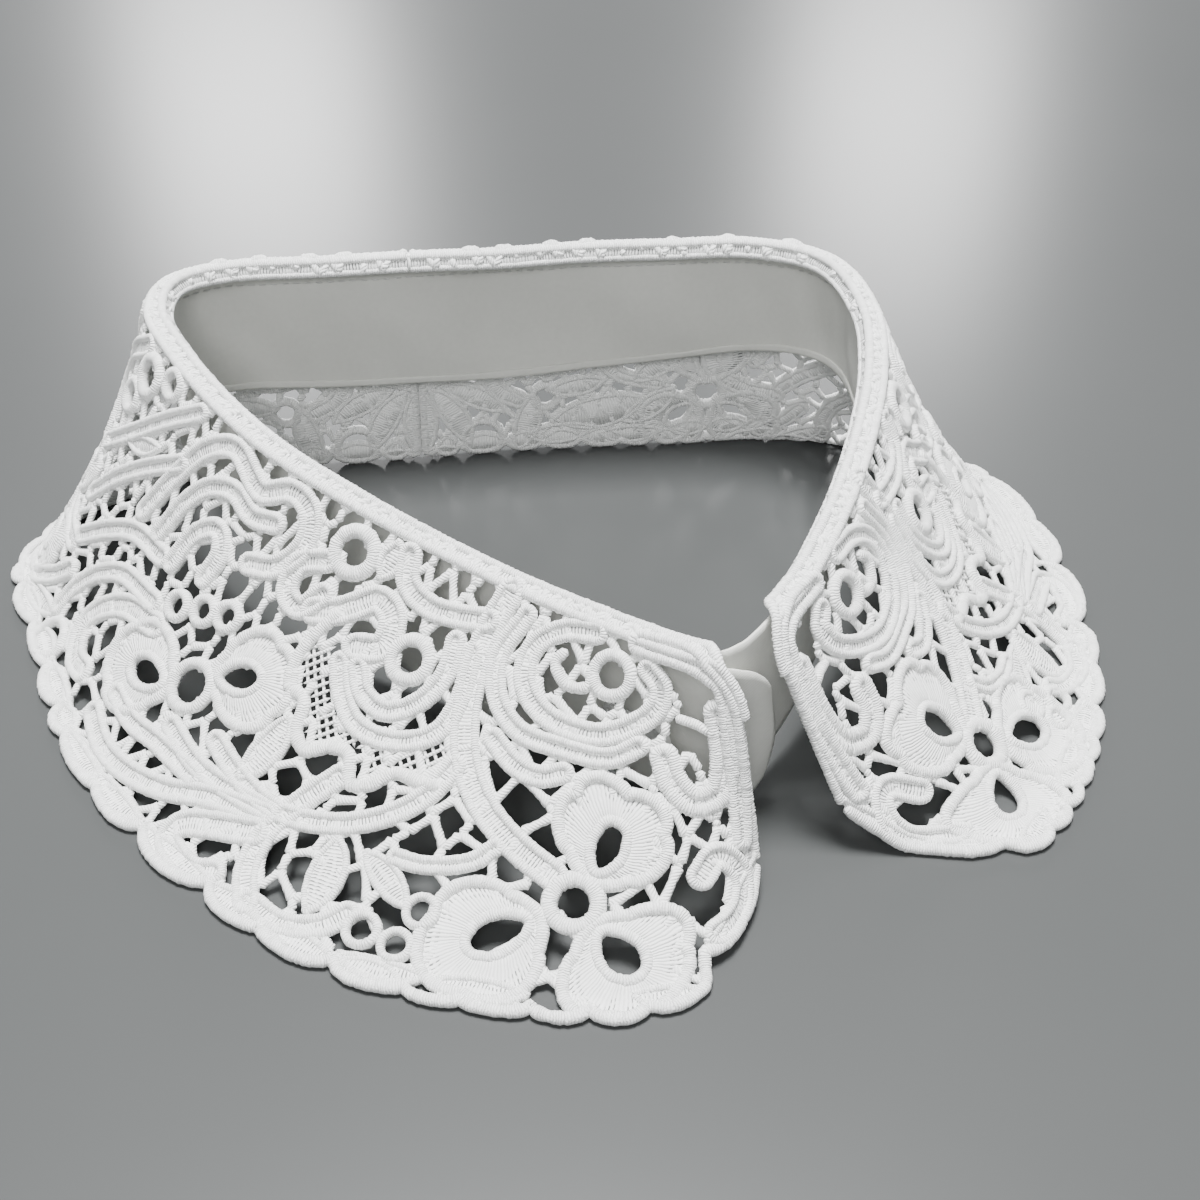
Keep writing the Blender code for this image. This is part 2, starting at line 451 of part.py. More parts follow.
def bars(half, holes):
    """Joining bars: an uneven honeycomb over the whole half, left out where it would cross a hole."""
    out = []
    depth = half.depth.mean()
    row_step = BAR_CELL * 0.75
    column_step = BAR_CELL * math.sqrt(3) / 2

    def corner(i, j, end):
        """Corner of the honeycomb, shaken by up to a fifth of a cell."""
        x = (i + 0.5 * (j % 2)) * column_step
        y = j * row_step + (0.25 * BAR_CELL if end else 0.0)
        x += BAR_CELL * 0.4 * (chance(i, j, end) - 0.5)
        y += BAR_CELL * 0.4 * (chance(j, i, end + 2) - 0.5)
        return np.array([x / SPAN, y / depth])

    for j in range(int(depth / row_step) + 2):
        for i in range(-1, int(SPAN / column_step) + 2):
            low = corner(i, j, 1)
            ends = (corner(i, j, 0), corner(i - 1 + j % 2, j + 1, 0), corner(i + j % 2, j + 1, 0))
            for end in ends:
                line = np.linspace(low, end, 7)
                if line.min() < 0.004 or line.max() > 0.996:
                    continue
                near = [hole for hole in holes if np.abs(hole.mean(0) - line[3]).max() < 0.15]
                if any(inside(hole, line).any() for hole in near):
                    continue
                out.append(Ribbon(line, np.full(7, BAR_WIDTH / 2), False))
    return out


def cover(half, ribbons, holes, rows=751, columns=201):
    """Grid over one half that is True where there is thread."""
    along, drop = np.meshgrid(np.linspace(0, 1, rows), np.linspace(0, 1, columns), indexing="ij")
    points = half.at(along, drop)
    thread = np.zeros(along.shape, bool)
    for ribbon in ribbons:
        route = np.vstack([ribbon.route, ribbon.route[:1]]) if ribbon.closed else ribbon.route
        radius = np.r_[ribbon.half_width, ribbon.half_width[:1]] if ribbon.closed else ribbon.half_width
        places = np.column_stack([route, radius])
        length = np.linalg.norm(np.diff(half.at(route[:, 0], route[:, 1]), axis=0), axis=1).sum()
        marks = np.linspace(0, 1, max(3, int(length / (2.5 * CELL))))
        knots = np.linspace(0, 1, len(route))
        places = np.stack([np.interp(marks, knots, column) for column in places.T], 1)
        places = places[(places[:, :2].min(1) > -0.02) & (places[:, :2].max(1) < 1.02)]
        centres = half.at(places[:, 0], places[:, 1])
        for (a, d, r), centre in zip(places, centres):
            i, j = int(a * (rows - 1)), int(d * (columns - 1))
            reach = int(r / CELL) + 2
            box = (slice(max(i - reach, 0), i + reach + 1), slice(max(j - reach, 0), j + reach + 1))
            thread[box] |= ((points[box] - centre) ** 2).sum(2) < r * r
    depth = half.depth_at(along)
    hem = hem_drop(half, along[:, 0])[:, None]
    thread |= (drop * depth < NECK_STRIP) | ((hem - drop) * depth < HEM_CORD)
    places = np.stack([along, drop], -1)
    thread |= inside(np.array(NET), places)
    for hole in holes:
        thread &= ~inside(hole, places)
    return along, drop, thread, drop < hem


def stretches_of_ground(ground):
    """Lists of the grid cells of each stretch of open ground, by flood fill."""
    waiting = ground.copy()
    rows, columns = ground.shape
    stretches = []
    for start in zip(*np.nonzero(ground)):
        if not waiting[start]:
            continue
        waiting[start] = False
        cells = [start]
        for i, j in cells:
            for near in ((i + 1, j), (i - 1, j), (i, j + 1), (i, j - 1)):
                if 0 <= near[0] < rows and 0 <= near[1] < columns and waiting[near]:
                    waiting[near] = False
                    cells.append(near)
        stretches.append(np.array(cells))
    return stretches


def deepest_cell(cells, shape):
    """Cell that is left last as the stretch is worn away from its edge."""
    left = np.zeros(shape, bool)
    left[cells[:, 0], cells[:, 1]] = True
    last = left
    while left.any():
        last = left
        worn = left.copy()
        worn[1:] &= left[:-1]
        worn[:-1] &= left[1:]
        worn[:, 1:] &= left[:, :-1]
        worn[:, :-1] &= left[:, 1:]
        left = worn
    places = np.argwhere(last)
    return places[np.argmin(np.linalg.norm(places - places.mean(0), axis=1))]


def gap_outlines(half, along, drop, ground):
    """Outlines of the largest gaps between the cords, seen from the deepest place of each."""
    rows, columns = ground.shape
    points = half.at(along, drop)
    area = np.linalg.norm(np.cross(np.gradient(points, axis=0), np.gradient(points, axis=1)), axis=2)
    stretches = stretches_of_ground(ground)
    sizes = [area[cells[:, 0], cells[:, 1]].sum() for cells in stretches]
    order = np.argsort(sizes)[::-1][:GAP_COUNT]
    outlines = []
    for index in order:
        if sizes[index] < GAP_AREA:
            break
        cells = stretches[index]
        low, high = cells.min(0) - 1, cells.max(0) + 2
        i, j = deepest_cell(cells - low, high - low) + low
        open_here = np.zeros(ground.shape, bool)
        open_here[cells[:, 0], cells[:, 1]] = True
        per_row = np.linalg.norm(points[min(i + 1, rows - 1), j] - points[i - 1, j]) / 2
        per_column = np.linalg.norm(points[i, min(j + 1, columns - 1)] - points[i, j - 1]) / 2
        outline = []
        for turn in np.linspace(0, 2 * math.pi, GAP_CORNERS, endpoint=False) + 0.2:
            ray = np.array([math.cos(turn) / per_row, math.sin(turn) / per_column])
            reach = RAY_STEP
            while True:
                a, b = np.rint(np.array([i, j]) + ray * (reach + RAY_STEP)).astype(int)
                if not (0 <= a < rows and 0 <= b < columns and open_here[a, b]):
                    break
                reach += RAY_STEP
            outline.append((np.array([i, j]) + ray * reach) / (rows - 1, columns - 1))
        outlines.append(np.array(outline))
    return outlines


def away_from(points, lines, distance):
    """Which points are at least a distance from every corner of the lines."""
    corners = np.vstack(lines)
    gaps = np.linalg.norm(points[:, None] - corners[None], axis=2)
    return gaps.min(1) >= distance


def lace_plan(half, outlines):
    """Flat triangles of one half in unrolled mm: its corners, and its faces with the gaps left out."""
    end = 1 - 0.5 * BACK_GAP / half.length

    def unroll(places):
        return np.stack([places[:, 0] * SPAN, places[:, 1] * half.depth_at(places[:, 0])], 1)

    across = np.linspace(0, end, int(SPAN / GRID_STEP) + 1)
    scallops = [np.linspace(a.along, b.along, 6) for a, b in zip(NOTCHES, NOTCHES[1:])]
    hem_marks = np.unique(np.concatenate(scallops))
    hem_marks = np.append(hem_marks[hem_marks < end - 0.002], end)
    hem = unroll(np.stack([hem_marks, hem_drop(half, hem_marks)], 1))
    lip = unroll(np.stack([across, np.zeros_like(across)], 1))
    lip = lip[lip[:, 0] > NECK_CORNER + CLEAR_OF_CORNER]
    front_rows = np.arange(NECK_CORNER + 3 * CLEAR_OF_CORNER, hem[0, 1] - 0.5 * GRID_STEP, GRID_STEP)
    front = np.stack([np.zeros_like(front_rows), front_rows], 1)
    turn = np.linspace(0, 0.5 * math.pi, 8)
    corner = NECK_CORNER * (1 - np.stack([np.cos(turn), np.sin(turn)], 1))
    back_rows = np.append(ROLL_ROWS, np.arange(FIRST_ROW, hem[-1, 1] - CLEAR_OF_HEM, GRID_STEP))
    back = np.stack([np.full(len(back_rows), end * SPAN), back_rows], 1)
    border = np.vstack([lip, back, hem[::-1], front[::-1], corner])
    gaps = [unroll(outline) for outline in outlines]
    inner = []
    for k, a in enumerate(across[1:-1]):
        depth = half.depth_at(a)
        foot = np.interp(a, np.linspace(0, 1, len(half.foot)), half.foot)
        fold = depth - foot
        drops = np.arange(FIRST_ROW + (k % 2) * 0.5 * GRID_STEP, fold - CLEAR_OF_FOLD, GRID_STEP)
        drops = np.concatenate([ROLL_ROWS, drops, fold + np.array(FOLD_ROWS)])
        inner += [(a * SPAN, d) for d in drops]
    inner = np.array(inner)
    keep = inside(border, inner) & away_from(inner, [hem, corner] + gaps, CLEAR_OF_GAP)
    for gap in gaps:
        keep &= ~inside(gap, inner)
    inner = inner[keep]
    corners = [border] + gaps + [inner]
    edges = []
    first = 0
    for line in [border] + gaps:
        count = len(line)
        edges += [(first + k, first + (k + 1) % count) for k in range(count)]
        first += count
    found = delaunay_2d_cdt([Vector(p) for p in np.vstack(corners)], edges, [], 0, 1e-4)
    places = np.array([tuple(v) for v in found[0]])
    faces = np.array([tuple(f) for f in found[2]])
    middles = places[faces].mean(1)
    keep = inside(border, middles)
    for gap in gaps:
        keep &= ~inside(gap, middles)
    along = places[:, 0] / SPAN
    return np.stack([along, places[:, 1] / half.depth_at(along)], 1), faces[keep]


def lace_half(side, material, parts):
    """One half of the lace: a surface with its larger gaps cut, thickened and raised at the satin."""
    half = Half(side)
    ribbons, holes = motif_ribbons(half)
    along, drop, thread, within = cover(half, ribbons + bars(half, holes), holes)
    satin = cover(half, ribbons, holes)[2]
    from_front = along * half.length
    clear = (drop * half.depth_at(along) > ROLL_DEPTH) & (from_front > GAP_MARGIN)
    clear &= from_front < half.length - GAP_MARGIN
    foot = np.interp(along, np.linspace(0, 1, len(half.foot)), half.foot)
    clear &= np.abs((1 - drop) * half.depth_at(along) - foot) > FOLD_KEPT
    places, faces = lace_plan(half, gap_outlines(half, along, drop, within & clear & ~thread))
    shape = bmesh.new()
    points = half.at(places[:, 0], places[:, 1]) * MM
    corners = [shape.verts.new(p) for p in points]
    order = 1 if side == "left" else -1
    for face in faces:
        shape.faces.new([corners[k] for k in face][::order])
    bmesh.ops.delete(shape, geom=[v for v in shape.verts if not v.link_faces], context="VERTS")
    shape.normal_update()
    top = max(shape.faces, key=lambda face: abs(face.normal.z))
    if top.normal.z < 0:
        bmesh.ops.reverse_faces(shape, faces=shape.faces)
    piece = add_mesh("lace_" + side, shape, material, parts)
    group = piece.vertex_groups.new(name="raised")
    kept = np.array([tuple(v.co) for v in piece.data.vertices])
    rows, columns = satin.shape
    for index, point in enumerate(kept):
        a, d = places[np.argmin(((points - point) ** 2).sum(1))]
        raised = satin[int(round(a * (rows - 1))), int(round(min(d, 1) * (columns - 1)))]
        raised &= ROLL_DEPTH < d * half.depth_at(a) < hem_drop(half, [a])[0] * half.depth_at(a) - HEM_CORD
        group.add([index], 1.0 if raised else 0.0, "REPLACE")
    thicken = piece.modifiers.new("wall", "SOLIDIFY")
    thicken.thickness = LACE_WALL * MM
    thicken.offset = 1
    thicken.vertex_group = group.name
    thicken.thickness_vertex_group = PLAIN_SHARE
    return piece


def new_material(name, colour, roughness):
    material = bpy.data.materials.new(name)
    material.use_nodes = True
    shader = material.node_tree.nodes["Principled BSDF"]
    shader.inputs["Base Color"].default_value = (*colour, 1)
    shader.inputs["Roughness"].default_value = roughness
    return material


def add_mesh(name, shape, material, collection):
    """Object from a bmesh, in a collection, with its material."""
    mesh = bpy.data.meshes.new(name)
    shape.to_mesh(mesh)
    shape.free()
    piece = bpy.data.objects.new(name, mesh)
    collection.objects.link(piece)
    if material:
        mesh.materials.append(material)
    return piece


def neckline():
    """The neck's seam line in plan with its height, from the left front to the right front."""
    dense = smooth(SECTIONS, 12)[:, :3]
    return dense - np.array([MIDDLE_X, MIDDLE_Y, 0])


def band_route():
    """Middle line of the band as rows of x, y and seam height, from its left tip to its right end."""
    neck = neckline()
    end = np.array(LEFT_END) - (MIDDLE_X, MIDDLE_Y)
    start = np.argmax(neck[:, 1] > end[-1, 1] + 2.5)
    left = np.column_stack([end, np.full(len(end), LEFT_END_HEIGHT)])
    left[-1, 2] = neck[start, 2]
    outer = smooth(np.vstack([left, neck[start:start + 40:8]]), 10)
    outer = even(outer[:, :3], 60)[0]
    forward = np.gradient(outer[:, :2], axis=0)
    forward /= np.linalg.norm(forward, axis=1)[:, None]
    inward = np.stack([forward[:, 1], -forward[:, 0]], 1)
    behind = outer.copy()
    behind[:, :2] += inward * OVERLAP_OFFSET
    run = np.r_[0, np.cumsum(np.linalg.norm(np.diff(behind[:, :2], axis=0), axis=1))]
    behind = behind[(run > OVERLAP_START) & (run < OVERLAP_START + OVERLAP_LENGTH)][::3]
    route = np.vstack([left, neck[start::8], behind])
    return even(smooth(route, 6), 120)


def band_columns():
    """Places along the band, closer at its ends: rows of x, y, top, bottom and distance from the tip."""
    route, length = band_route()
    run = np.linspace(0, length, len(route))
    ends = OVERLAP_START + OVERLAP_LENGTH + 4.0
    marks = np.concatenate([np.arange(0, ends, 1.6), np.arange(ends, length - ends, 2 * BAND_STEP),
                            np.arange(length - ends, length, 1.6), [length]])
    x, y, seam = (np.interp(marks, run, column) for column in route.T)
    from_end = length - marks
    left_tuck = np.clip((OVERLAP_START + OVERLAP_LENGTH + 2.0 - marks) / 7.0, 0, 1)
    right_tuck = np.clip((OVERLAP_LENGTH - 2.0 - from_end) / 3.0, 0, 1)
    tuck = np.maximum(left_tuck, right_tuck)
    tuck = tuck * tuck * (3 - 2 * tuck)
    corner = END_CORNER - np.sqrt(END_CORNER ** 2 - (END_CORNER - np.minimum(marks, END_CORNER)) ** 2)
    top = seam + OPEN_TOP + (TUCKED_TOP - OPEN_TOP) * tuck - corner
    height = np.interp(marks / length, *smooth(BAND_HEIGHTS, 8).T)
    bottom = np.maximum(BAND_CLEAR, seam - height) + 0.6 * corner
    return x, y, top, bottom, marks


def neck_band(material, parts, cutters):
    """The stand band: an upright strip of doubled lawn with overlapping ends, a hem and a buttonhole."""
    x, y, top, bottom, marks = band_columns()
    rises = (0.0, BAND_HEM_HEIGHT, BAND_HEM_HEIGHT + 0.4, 0.55, 1.0)
    shape = bmesh.new()
    bmesh.ops.create_grid(shape, x_segments=len(marks) - 1, y_segments=len(rises) - 1, size=1.0)
    hem_corners = []
    for corner in shape.verts:
        i = round((corner.co.x + 1) / 2 * (len(marks) - 1))
        j = round((corner.co.y + 1) / 2 * (len(rises) - 1))
        rise = rises[j] if j < 3 else rises[j] * (top[i] - bottom[i])
        corner.co = Vector((x[i], y[i], bottom[i] + rise)) * MM
        if j < 2:
            hem_corners.append(corner.index)
    piece = add_mesh("neck_band", shape, material, parts)
    group = piece.vertex_groups.new(name="hem")
    group.add(hem_corners, 1.0, "REPLACE")
    thicken = piece.modifiers.new("wall", "SOLIDIFY")
    thicken.thickness = BAND_HEM_WALL * MM
    thicken.offset = 0
    thicken.vertex_group = group.name
    thicken.thickness_vertex_group = BAND_WALL / BAND_HEM_WALL
    place, tangent, outward = button_seat()
    slot = bmesh.new()
    bmesh.ops.create_cube(slot, size=1.0)
    size = Vector((BUTTONHOLE_LENGTH, 1.5 * BAND_WALL, BUTTONHOLE_HEIGHT)) * MM
    bmesh.ops.scale(slot, vec=size, verts=slot.verts)
    cutter = add_mesh("buttonhole_cutter", slot, None, cutters)
    middle = place + tangent * (0.5 * BUTTONHOLE_LENGTH - 1.5) * MM
    cutter.matrix_world = seat_matrix(middle, tangent, outward)
    cutter.display_type = "WIRE"
    cutter.hide_render = True
    cut = piece.modifiers.new("buttonhole", "BOOLEAN")
    cut.object = cutter
    cut.operation = "DIFFERENCE"
    return piece


def button_seat():
    """Middle of the buttonhole's front end, with the band's direction and its outward direction."""
    x, y, top, bottom, marks = band_columns()
    here = np.array([np.interp(BUTTON_FROM_TIP, marks, column) for column in (x, y)])
    ahead = np.array([np.interp(BUTTON_FROM_TIP + 2.0, marks, column) for column in (x, y)])
    tangent = Vector((*(ahead - here), 0)).normalized()
    outward = Vector((-tangent.y, tangent.x, 0))
    return Vector((*here, LEFT_END_HEIGHT - BUTTON_DROP)) * MM, tangent, outward


def seat_matrix(place, tangent, outward):
    """Frame with x along the band, y outwards and z up."""
    turned = Matrix((tangent, outward, Vector((0, 0, 1)))).transposed()
    return Matrix.Translation(place) @ turned.to_4x4()


def button(material, parts):
    """Turned shank button: a dished face with a round rim, and a shank through the buttonhole."""
    back = 0.5 * BAND_WALL + SEAM_GAP + 0.1
    front = back + BUTTON_THICKNESS
    shank_end = 0.5 * BAND_WALL - OVERLAP_OFFSET + SEAM_GAP
    profile = [(0.0, front - 0.5), (BUTTON_RADIUS - 1.6, front - 0.5), (BUTTON_RADIUS - 1.1, front)]
    for turn in np.linspace(90, -90, 7):
        angle = math.radians(turn)
        profile.append((BUTTON_RADIUS - BUTTON_RIM + BUTTON_RIM * math.cos(angle),
                        front - BUTTON_RIM + BUTTON_RIM * math.sin(angle)))
    profile += [(BUTTON_RADIUS - 2.0, back), (SHANK_RADIUS, back), (SHANK_RADIUS, shank_end),
                (0.0, shank_end)]
    shape = bmesh.new()
    line = [shape.verts.new(Vector((radius, 0, height)) * MM) for radius, height in profile]
    for a, b in zip(line, line[1:]):
        shape.edges.new((a, b))
    piece = add_mesh("button", shape, material, parts)
    turned = piece.modifiers.new("turned", "SCREW")
    turned.axis = "Z"
    turned.steps = BUTTON_SIDES
    turned.render_steps = BUTTON_SIDES
    turned.use_merge_vertices = True
    turned.merge_threshold = 0.00001
    place, tangent, outward = button_seat()
    piece.matrix_world = seat_matrix(place, tangent, outward) @ Matrix.Rotation(math.radians(-90), 4, "X")
    return piece


def main():
    for old in list(bpy.data.objects):
        bpy.data.objects.remove(old, do_unlink=True)
    parts = bpy.data.collections.new("lace_collar")
    cutters = bpy.data.collections.new("cutters")
    for collection in (parts, cutters):
        bpy.context.scene.collection.children.link(collection)
    lace = new_material("guipure_cotton", (0.86, 0.87, 0.85), 0.85)
    lawn = new_material("cotton_lawn", (0.82, 0.84, 0.82), 0.8)
    shell = new_material("white_button", (0.88, 0.88, 0.86), 0.3)
    lace_half("left", lace, parts)
    lace_half("right", lace, parts)
    neck_band(lawn, parts, cutters)
    button(shell, parts)


main()
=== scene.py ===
"""Looks of the lace collar: two halves of corded guipure, a lawn stand band and a button on a pale floor."""

import math
from collections import namedtuple

import bmesh
import bpy
import numpy as np
from mathutils import Matrix, Vector
from mathutils.kdtree import KDTree


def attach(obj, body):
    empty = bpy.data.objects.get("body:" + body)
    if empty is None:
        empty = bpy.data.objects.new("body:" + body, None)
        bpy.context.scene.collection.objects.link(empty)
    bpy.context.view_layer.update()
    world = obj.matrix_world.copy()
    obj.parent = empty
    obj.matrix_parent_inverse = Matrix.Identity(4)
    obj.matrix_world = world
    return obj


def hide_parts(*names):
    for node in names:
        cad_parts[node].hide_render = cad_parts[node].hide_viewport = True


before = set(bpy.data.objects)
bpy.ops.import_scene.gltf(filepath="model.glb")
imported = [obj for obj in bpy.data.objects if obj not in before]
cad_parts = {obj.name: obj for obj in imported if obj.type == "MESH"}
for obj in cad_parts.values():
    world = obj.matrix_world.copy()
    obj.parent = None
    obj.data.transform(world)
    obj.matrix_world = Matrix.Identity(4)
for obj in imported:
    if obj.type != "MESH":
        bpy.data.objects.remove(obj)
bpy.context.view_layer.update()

MM = 0.001

# The collar's form, in millimetres, as in the part's source
BAND_HEM_HEIGHT = 1.6
BAND_CLEAR = 1.3
BAND_WALL = 1.2
OVERLAP_START = 6.6
OVERLAP_LENGTH = 20.0
OVERLAP_OFFSET = 2.1
TUCKED_TOP = -2.2
OPEN_TOP = 0.1
END_CORNER = 12.0
BUTTONHOLE_LENGTH = 11.0
BUTTON_RADIUS = 4.5
BUTTON_THICKNESS = 2.2
BUTTON_RIM = 0.7
SHANK_RADIUS = 1.0
SEAM_GAP = 0.3
BUTTON_FROM_TIP = 22.6
BUTTON_DROP = 20.0
CORD_GAP = 0.12
NECK_STRIP = 4.6
BAR_CELL = 6.4
ROLL_RADIUS = 1.5
ROLL_END_ANGLE = 207.0
FOLD_RADIUS = 2.0
BACK_ROW = 14
MIDDLE_X = -0.25
MIDDLE_Y = -0.95

# The lace's thread work: sizes in millimetres, and shares, counts and degrees
LACE_TOP = 2.0
RIM_WIDTH = 1.55
HEM_WIDTH = 2.1
CORD_SIDES = 8
CORD_STEP = 0.5
EDGE_KEPT = 1.0
NECK_CORNER = 13.0
RIGHT_FRONT_CUT = 9.0
FRONT_CUT_END = 0.06
LEFT_CORNER_CUT = 4.6
RIGHT_CORNER_CUT = 1.6
CORNER_CUT_END = 0.079
LEFT_FRONT_GROWTH = 3.6
GROWTH_END = 0.055
BAR_MIDDLE = 1.5
BAR_END = 2.6
NET_PITCH = 1.35
NET_WIDTH = 0.6
SCALLOP_DEPTH = 3.6
BACK_FOOT = 2.5
BACK_LIFT = 2.2
SEAM_STEM = 0.75
SPAN = 250.0
PETAL_FAN = 132.0
CORNER_RAMP = 0.003
CORD_FOOT = 0.05
FILL_FOOT = 0.3
FINE_RIM = 0.62
EVEN_RIBS = 0.02
EDGE_RIBS = 0.055
EDGE_STEP = 0.35
ROLL_MARGIN = 0.03
BAR_REACH = 0.45
BAR_SIDES = 6
NEAR_SATIN = 0.7
NET_REACH = 60
SHORTEST_NET = 8

# Heights of the satin's top across each kind of filling, in millimetres
CORD_FILL = (1.05, 1.2, 1.3, 1.2, 1.05)
PETAL_FILL = (0.8, 1.15, 1.45, 1.65, 1.7)
LEAF_FILL = (1.0, 1.3, 1.45, 1.3, 1.0)
SCALLOP_FILL = (1.0, 1.2, 1.3, 1.2, 1.0)
ROLL_FILL = (0.75, 1.0, 0.95, 1.0, 0.8)

# The band's stitches and its buttonhole, in millimetres
STITCH_START = 6.0
STITCH_PITCH = 2.3
STITCH_LENGTH = 1.7
STITCH_DROP = 2.6
STITCH_DEPTH = 0.24
STITCH_ARCH = 0.16
STITCH_RADIUS = 0.13
SLIT_LEAD = 1.5
SLIT_DEPTH = 3.0
SLIT_HEIGHT = 1.1

# The threads' pitches in millimetres, the scale of their fuzz, and their relief in metres
SATIN_PITCH = 0.44
FILL_PITCH = 0.62
TWIST_PITCH = 0.6
TWIST_LEAN = 1.4
WEAVE_PITCH = 0.32
FUZZ_SCALE = 2600.0
THREAD_RELIEF = 0.00018

# Colours of the finishes and the sky, and the sky's strength
COTTON = (0.95, 0.957, 0.945, 1)
SHADED_COTTON = (0.62, 0.635, 0.615, 1)
# Painted shade: the near-black colour of the shade inside the fill's needle holes
NEEDLE_HOLE_SHADE = (0.11, 0.115, 0.115, 1)
LAWN = (0.70, 0.705, 0.665, 1)
SHADED_LAWN = (0.57, 0.575, 0.535, 1)
BUTTON_WHITE = (0.90, 0.90, 0.88, 1)
SHADED_WHITE = (0.78, 0.79, 0.78, 1)
FLOOR_DARK = (0.057, 0.060, 0.060, 1)
FLOOR_LIGHT = (0.066, 0.069, 0.069, 1)
SKY = (0.96, 0.98, 1.0, 1)
SKY_STRENGTH = 0.42

# The camera, and the lamps that point at the collar's middle: places in metres, the lens in millimetres
CAMERA_PLACE = (-0.09979, -0.22501, 0.20120)
CAMERA_AIM = (0.00495, 0.01025, 0.0)
CAMERA_LENS = 48.6
SENSOR_WIDTH = 36.0
Lamp = namedtuple("Lamp", "name place size power")
LAMPS = [Lamp(*row) for row in (
    ("window_left", (0.36, 2.0, 0.76), 0.3, 12.0), ("window_right", (1.20, 1.65, 0.76), 0.28, 9.5),
    ("ceiling", (0.06, 0.20, 1.70), 0.6, 98.0), ("front_fill", (-0.6, -1.0, 1.1), 0.5, 12.0),
)]

# First random seeds of the left and of the right half
SEEDS = {"motifs": (1000, 2000), "borders": (3000, 4000), "roll": (5000, 6000), "ground": (7000, 8000)}

# Cords along the rolled neck edge
RollCord = namedtuple("RollCord", "down width top")
ROLL_CORDS = [RollCord(*row) for row in ((0.75, 1.3, 1.35), (2.5, 1.9, 1.75), (4.5, 1.7, 1.8))]

# The band's left end leaves the neckline and turns across the front, in plan
LEFT_END = ((8.2, -53.3), (4.8, -54.3), (1.6, -54.9), (-1.4, -54.5), (-4.0, -52.6), (-6.3, -49.6),
            (-8.6, -45.9))
LEFT_END_HEIGHT = 35.7

# The band's height from its seam down, by share of its length from the left tip
BandHeight = namedtuple("BandHeight", "along height")
BAND_HEIGHTS = [BandHeight(*row) for row in (
    (0.0, 35.5), (0.08, 35.5), (0.22, 31.0), (0.36, 26.5), (0.46, 27.6), (0.54, 27.4), (0.61, 25.4),
    (0.67, 22.4), (0.72, 20.0), (0.80, 22.0), (0.90, 29.0), (1.0, 34.5),
)]

# The form's sections across the lace, from the left front round the back to the right front
Section = namedtuple("Section", "neck_x neck_y neck_z hem_x hem_y sag foot")
SECTIONS = [Section(*row) for row in (
    (0.2, -58.2, 35.7, -2.6, -73.6, 2, 3.0), (-6.4, -50.0, 34.7, -7.6, -81.8, 5, 3.5),
    (-10.5, -43.0, 33.7, -18.0, -88.6, 9, 4.0), (-15.0, -35.5, 33.2, -38.0, -87.0, 13, 5.0),
    (-24.0, -22.5, 33.7, -70.5, -64.0, 14, 5.0), (-34.5, -8.0, 36.2, -88.5, -36.5, 13, 5.0),
    (-44.5, 6.0, 39.7, -98.5, -11.0, 11, 5.0), (-53.5, 21.0, 43.2, -103.0, 13.5, 9, 5.0),
    (-59.5, 37.5, 46.2, -103.0, 41.0, 7, 5.0), (-63.0, 55.0, 48.7, -102.5, 66.0, 6, 5.0),
    (-63.5, 68.0, 49.7, -90.0, 81.0, 5, 4.0), (-58.0, 78.0, 50.2, -70.5, 85.5, 4, 3.0),
    (-46.0, 79.5, 50.2, -51.5, 84.6, 2, 2.5), (-28.5, 75.0, 49.7, -31.2, 80.0, 2, 2.5),
    (-11.5, 70.0, 49.7, -11.4, 75.4, 2, 2.5), (6.0, 65.0, 49.2, 7.9, 70.1, 2, 2.5),
    (23.0, 59.5, 49.7, 25.8, 64.1, 2, 2.5), (39.5, 53.5, 49.7, 43.4, 57.5, 3, 2.5),
    (55.5, 46.0, 50.2, 62.5, 50.8, 5, 3.0), (66.0, 33.0, 50.2, 84.0, 38.6, 8, 5.0),
    (64.5, 15.0, 48.7, 102.0, 15.5, 10, 6.0), (56.5, -1.5, 46.7, 100.0, -13.5, 11, 7.0),
    (46.0, -16.0, 44.2, 88.5, -41.0, 13, 8.0), (33.5, -30.0, 41.7, 71.0, -66.0, 16, 9.0),
    (20.5, -41.5, 38.2, 47.0, -83.5, 16, 10.0), (13.0, -46.5, 36.7, 28.5, -80.5, 12, 7.0),
    (9.2, -48.8, 36.5, 23.0, -77.5, 7, 4.0), (5.2, -51.2, 36.2, 18.0, -74.0, 3, 3.0),
)]

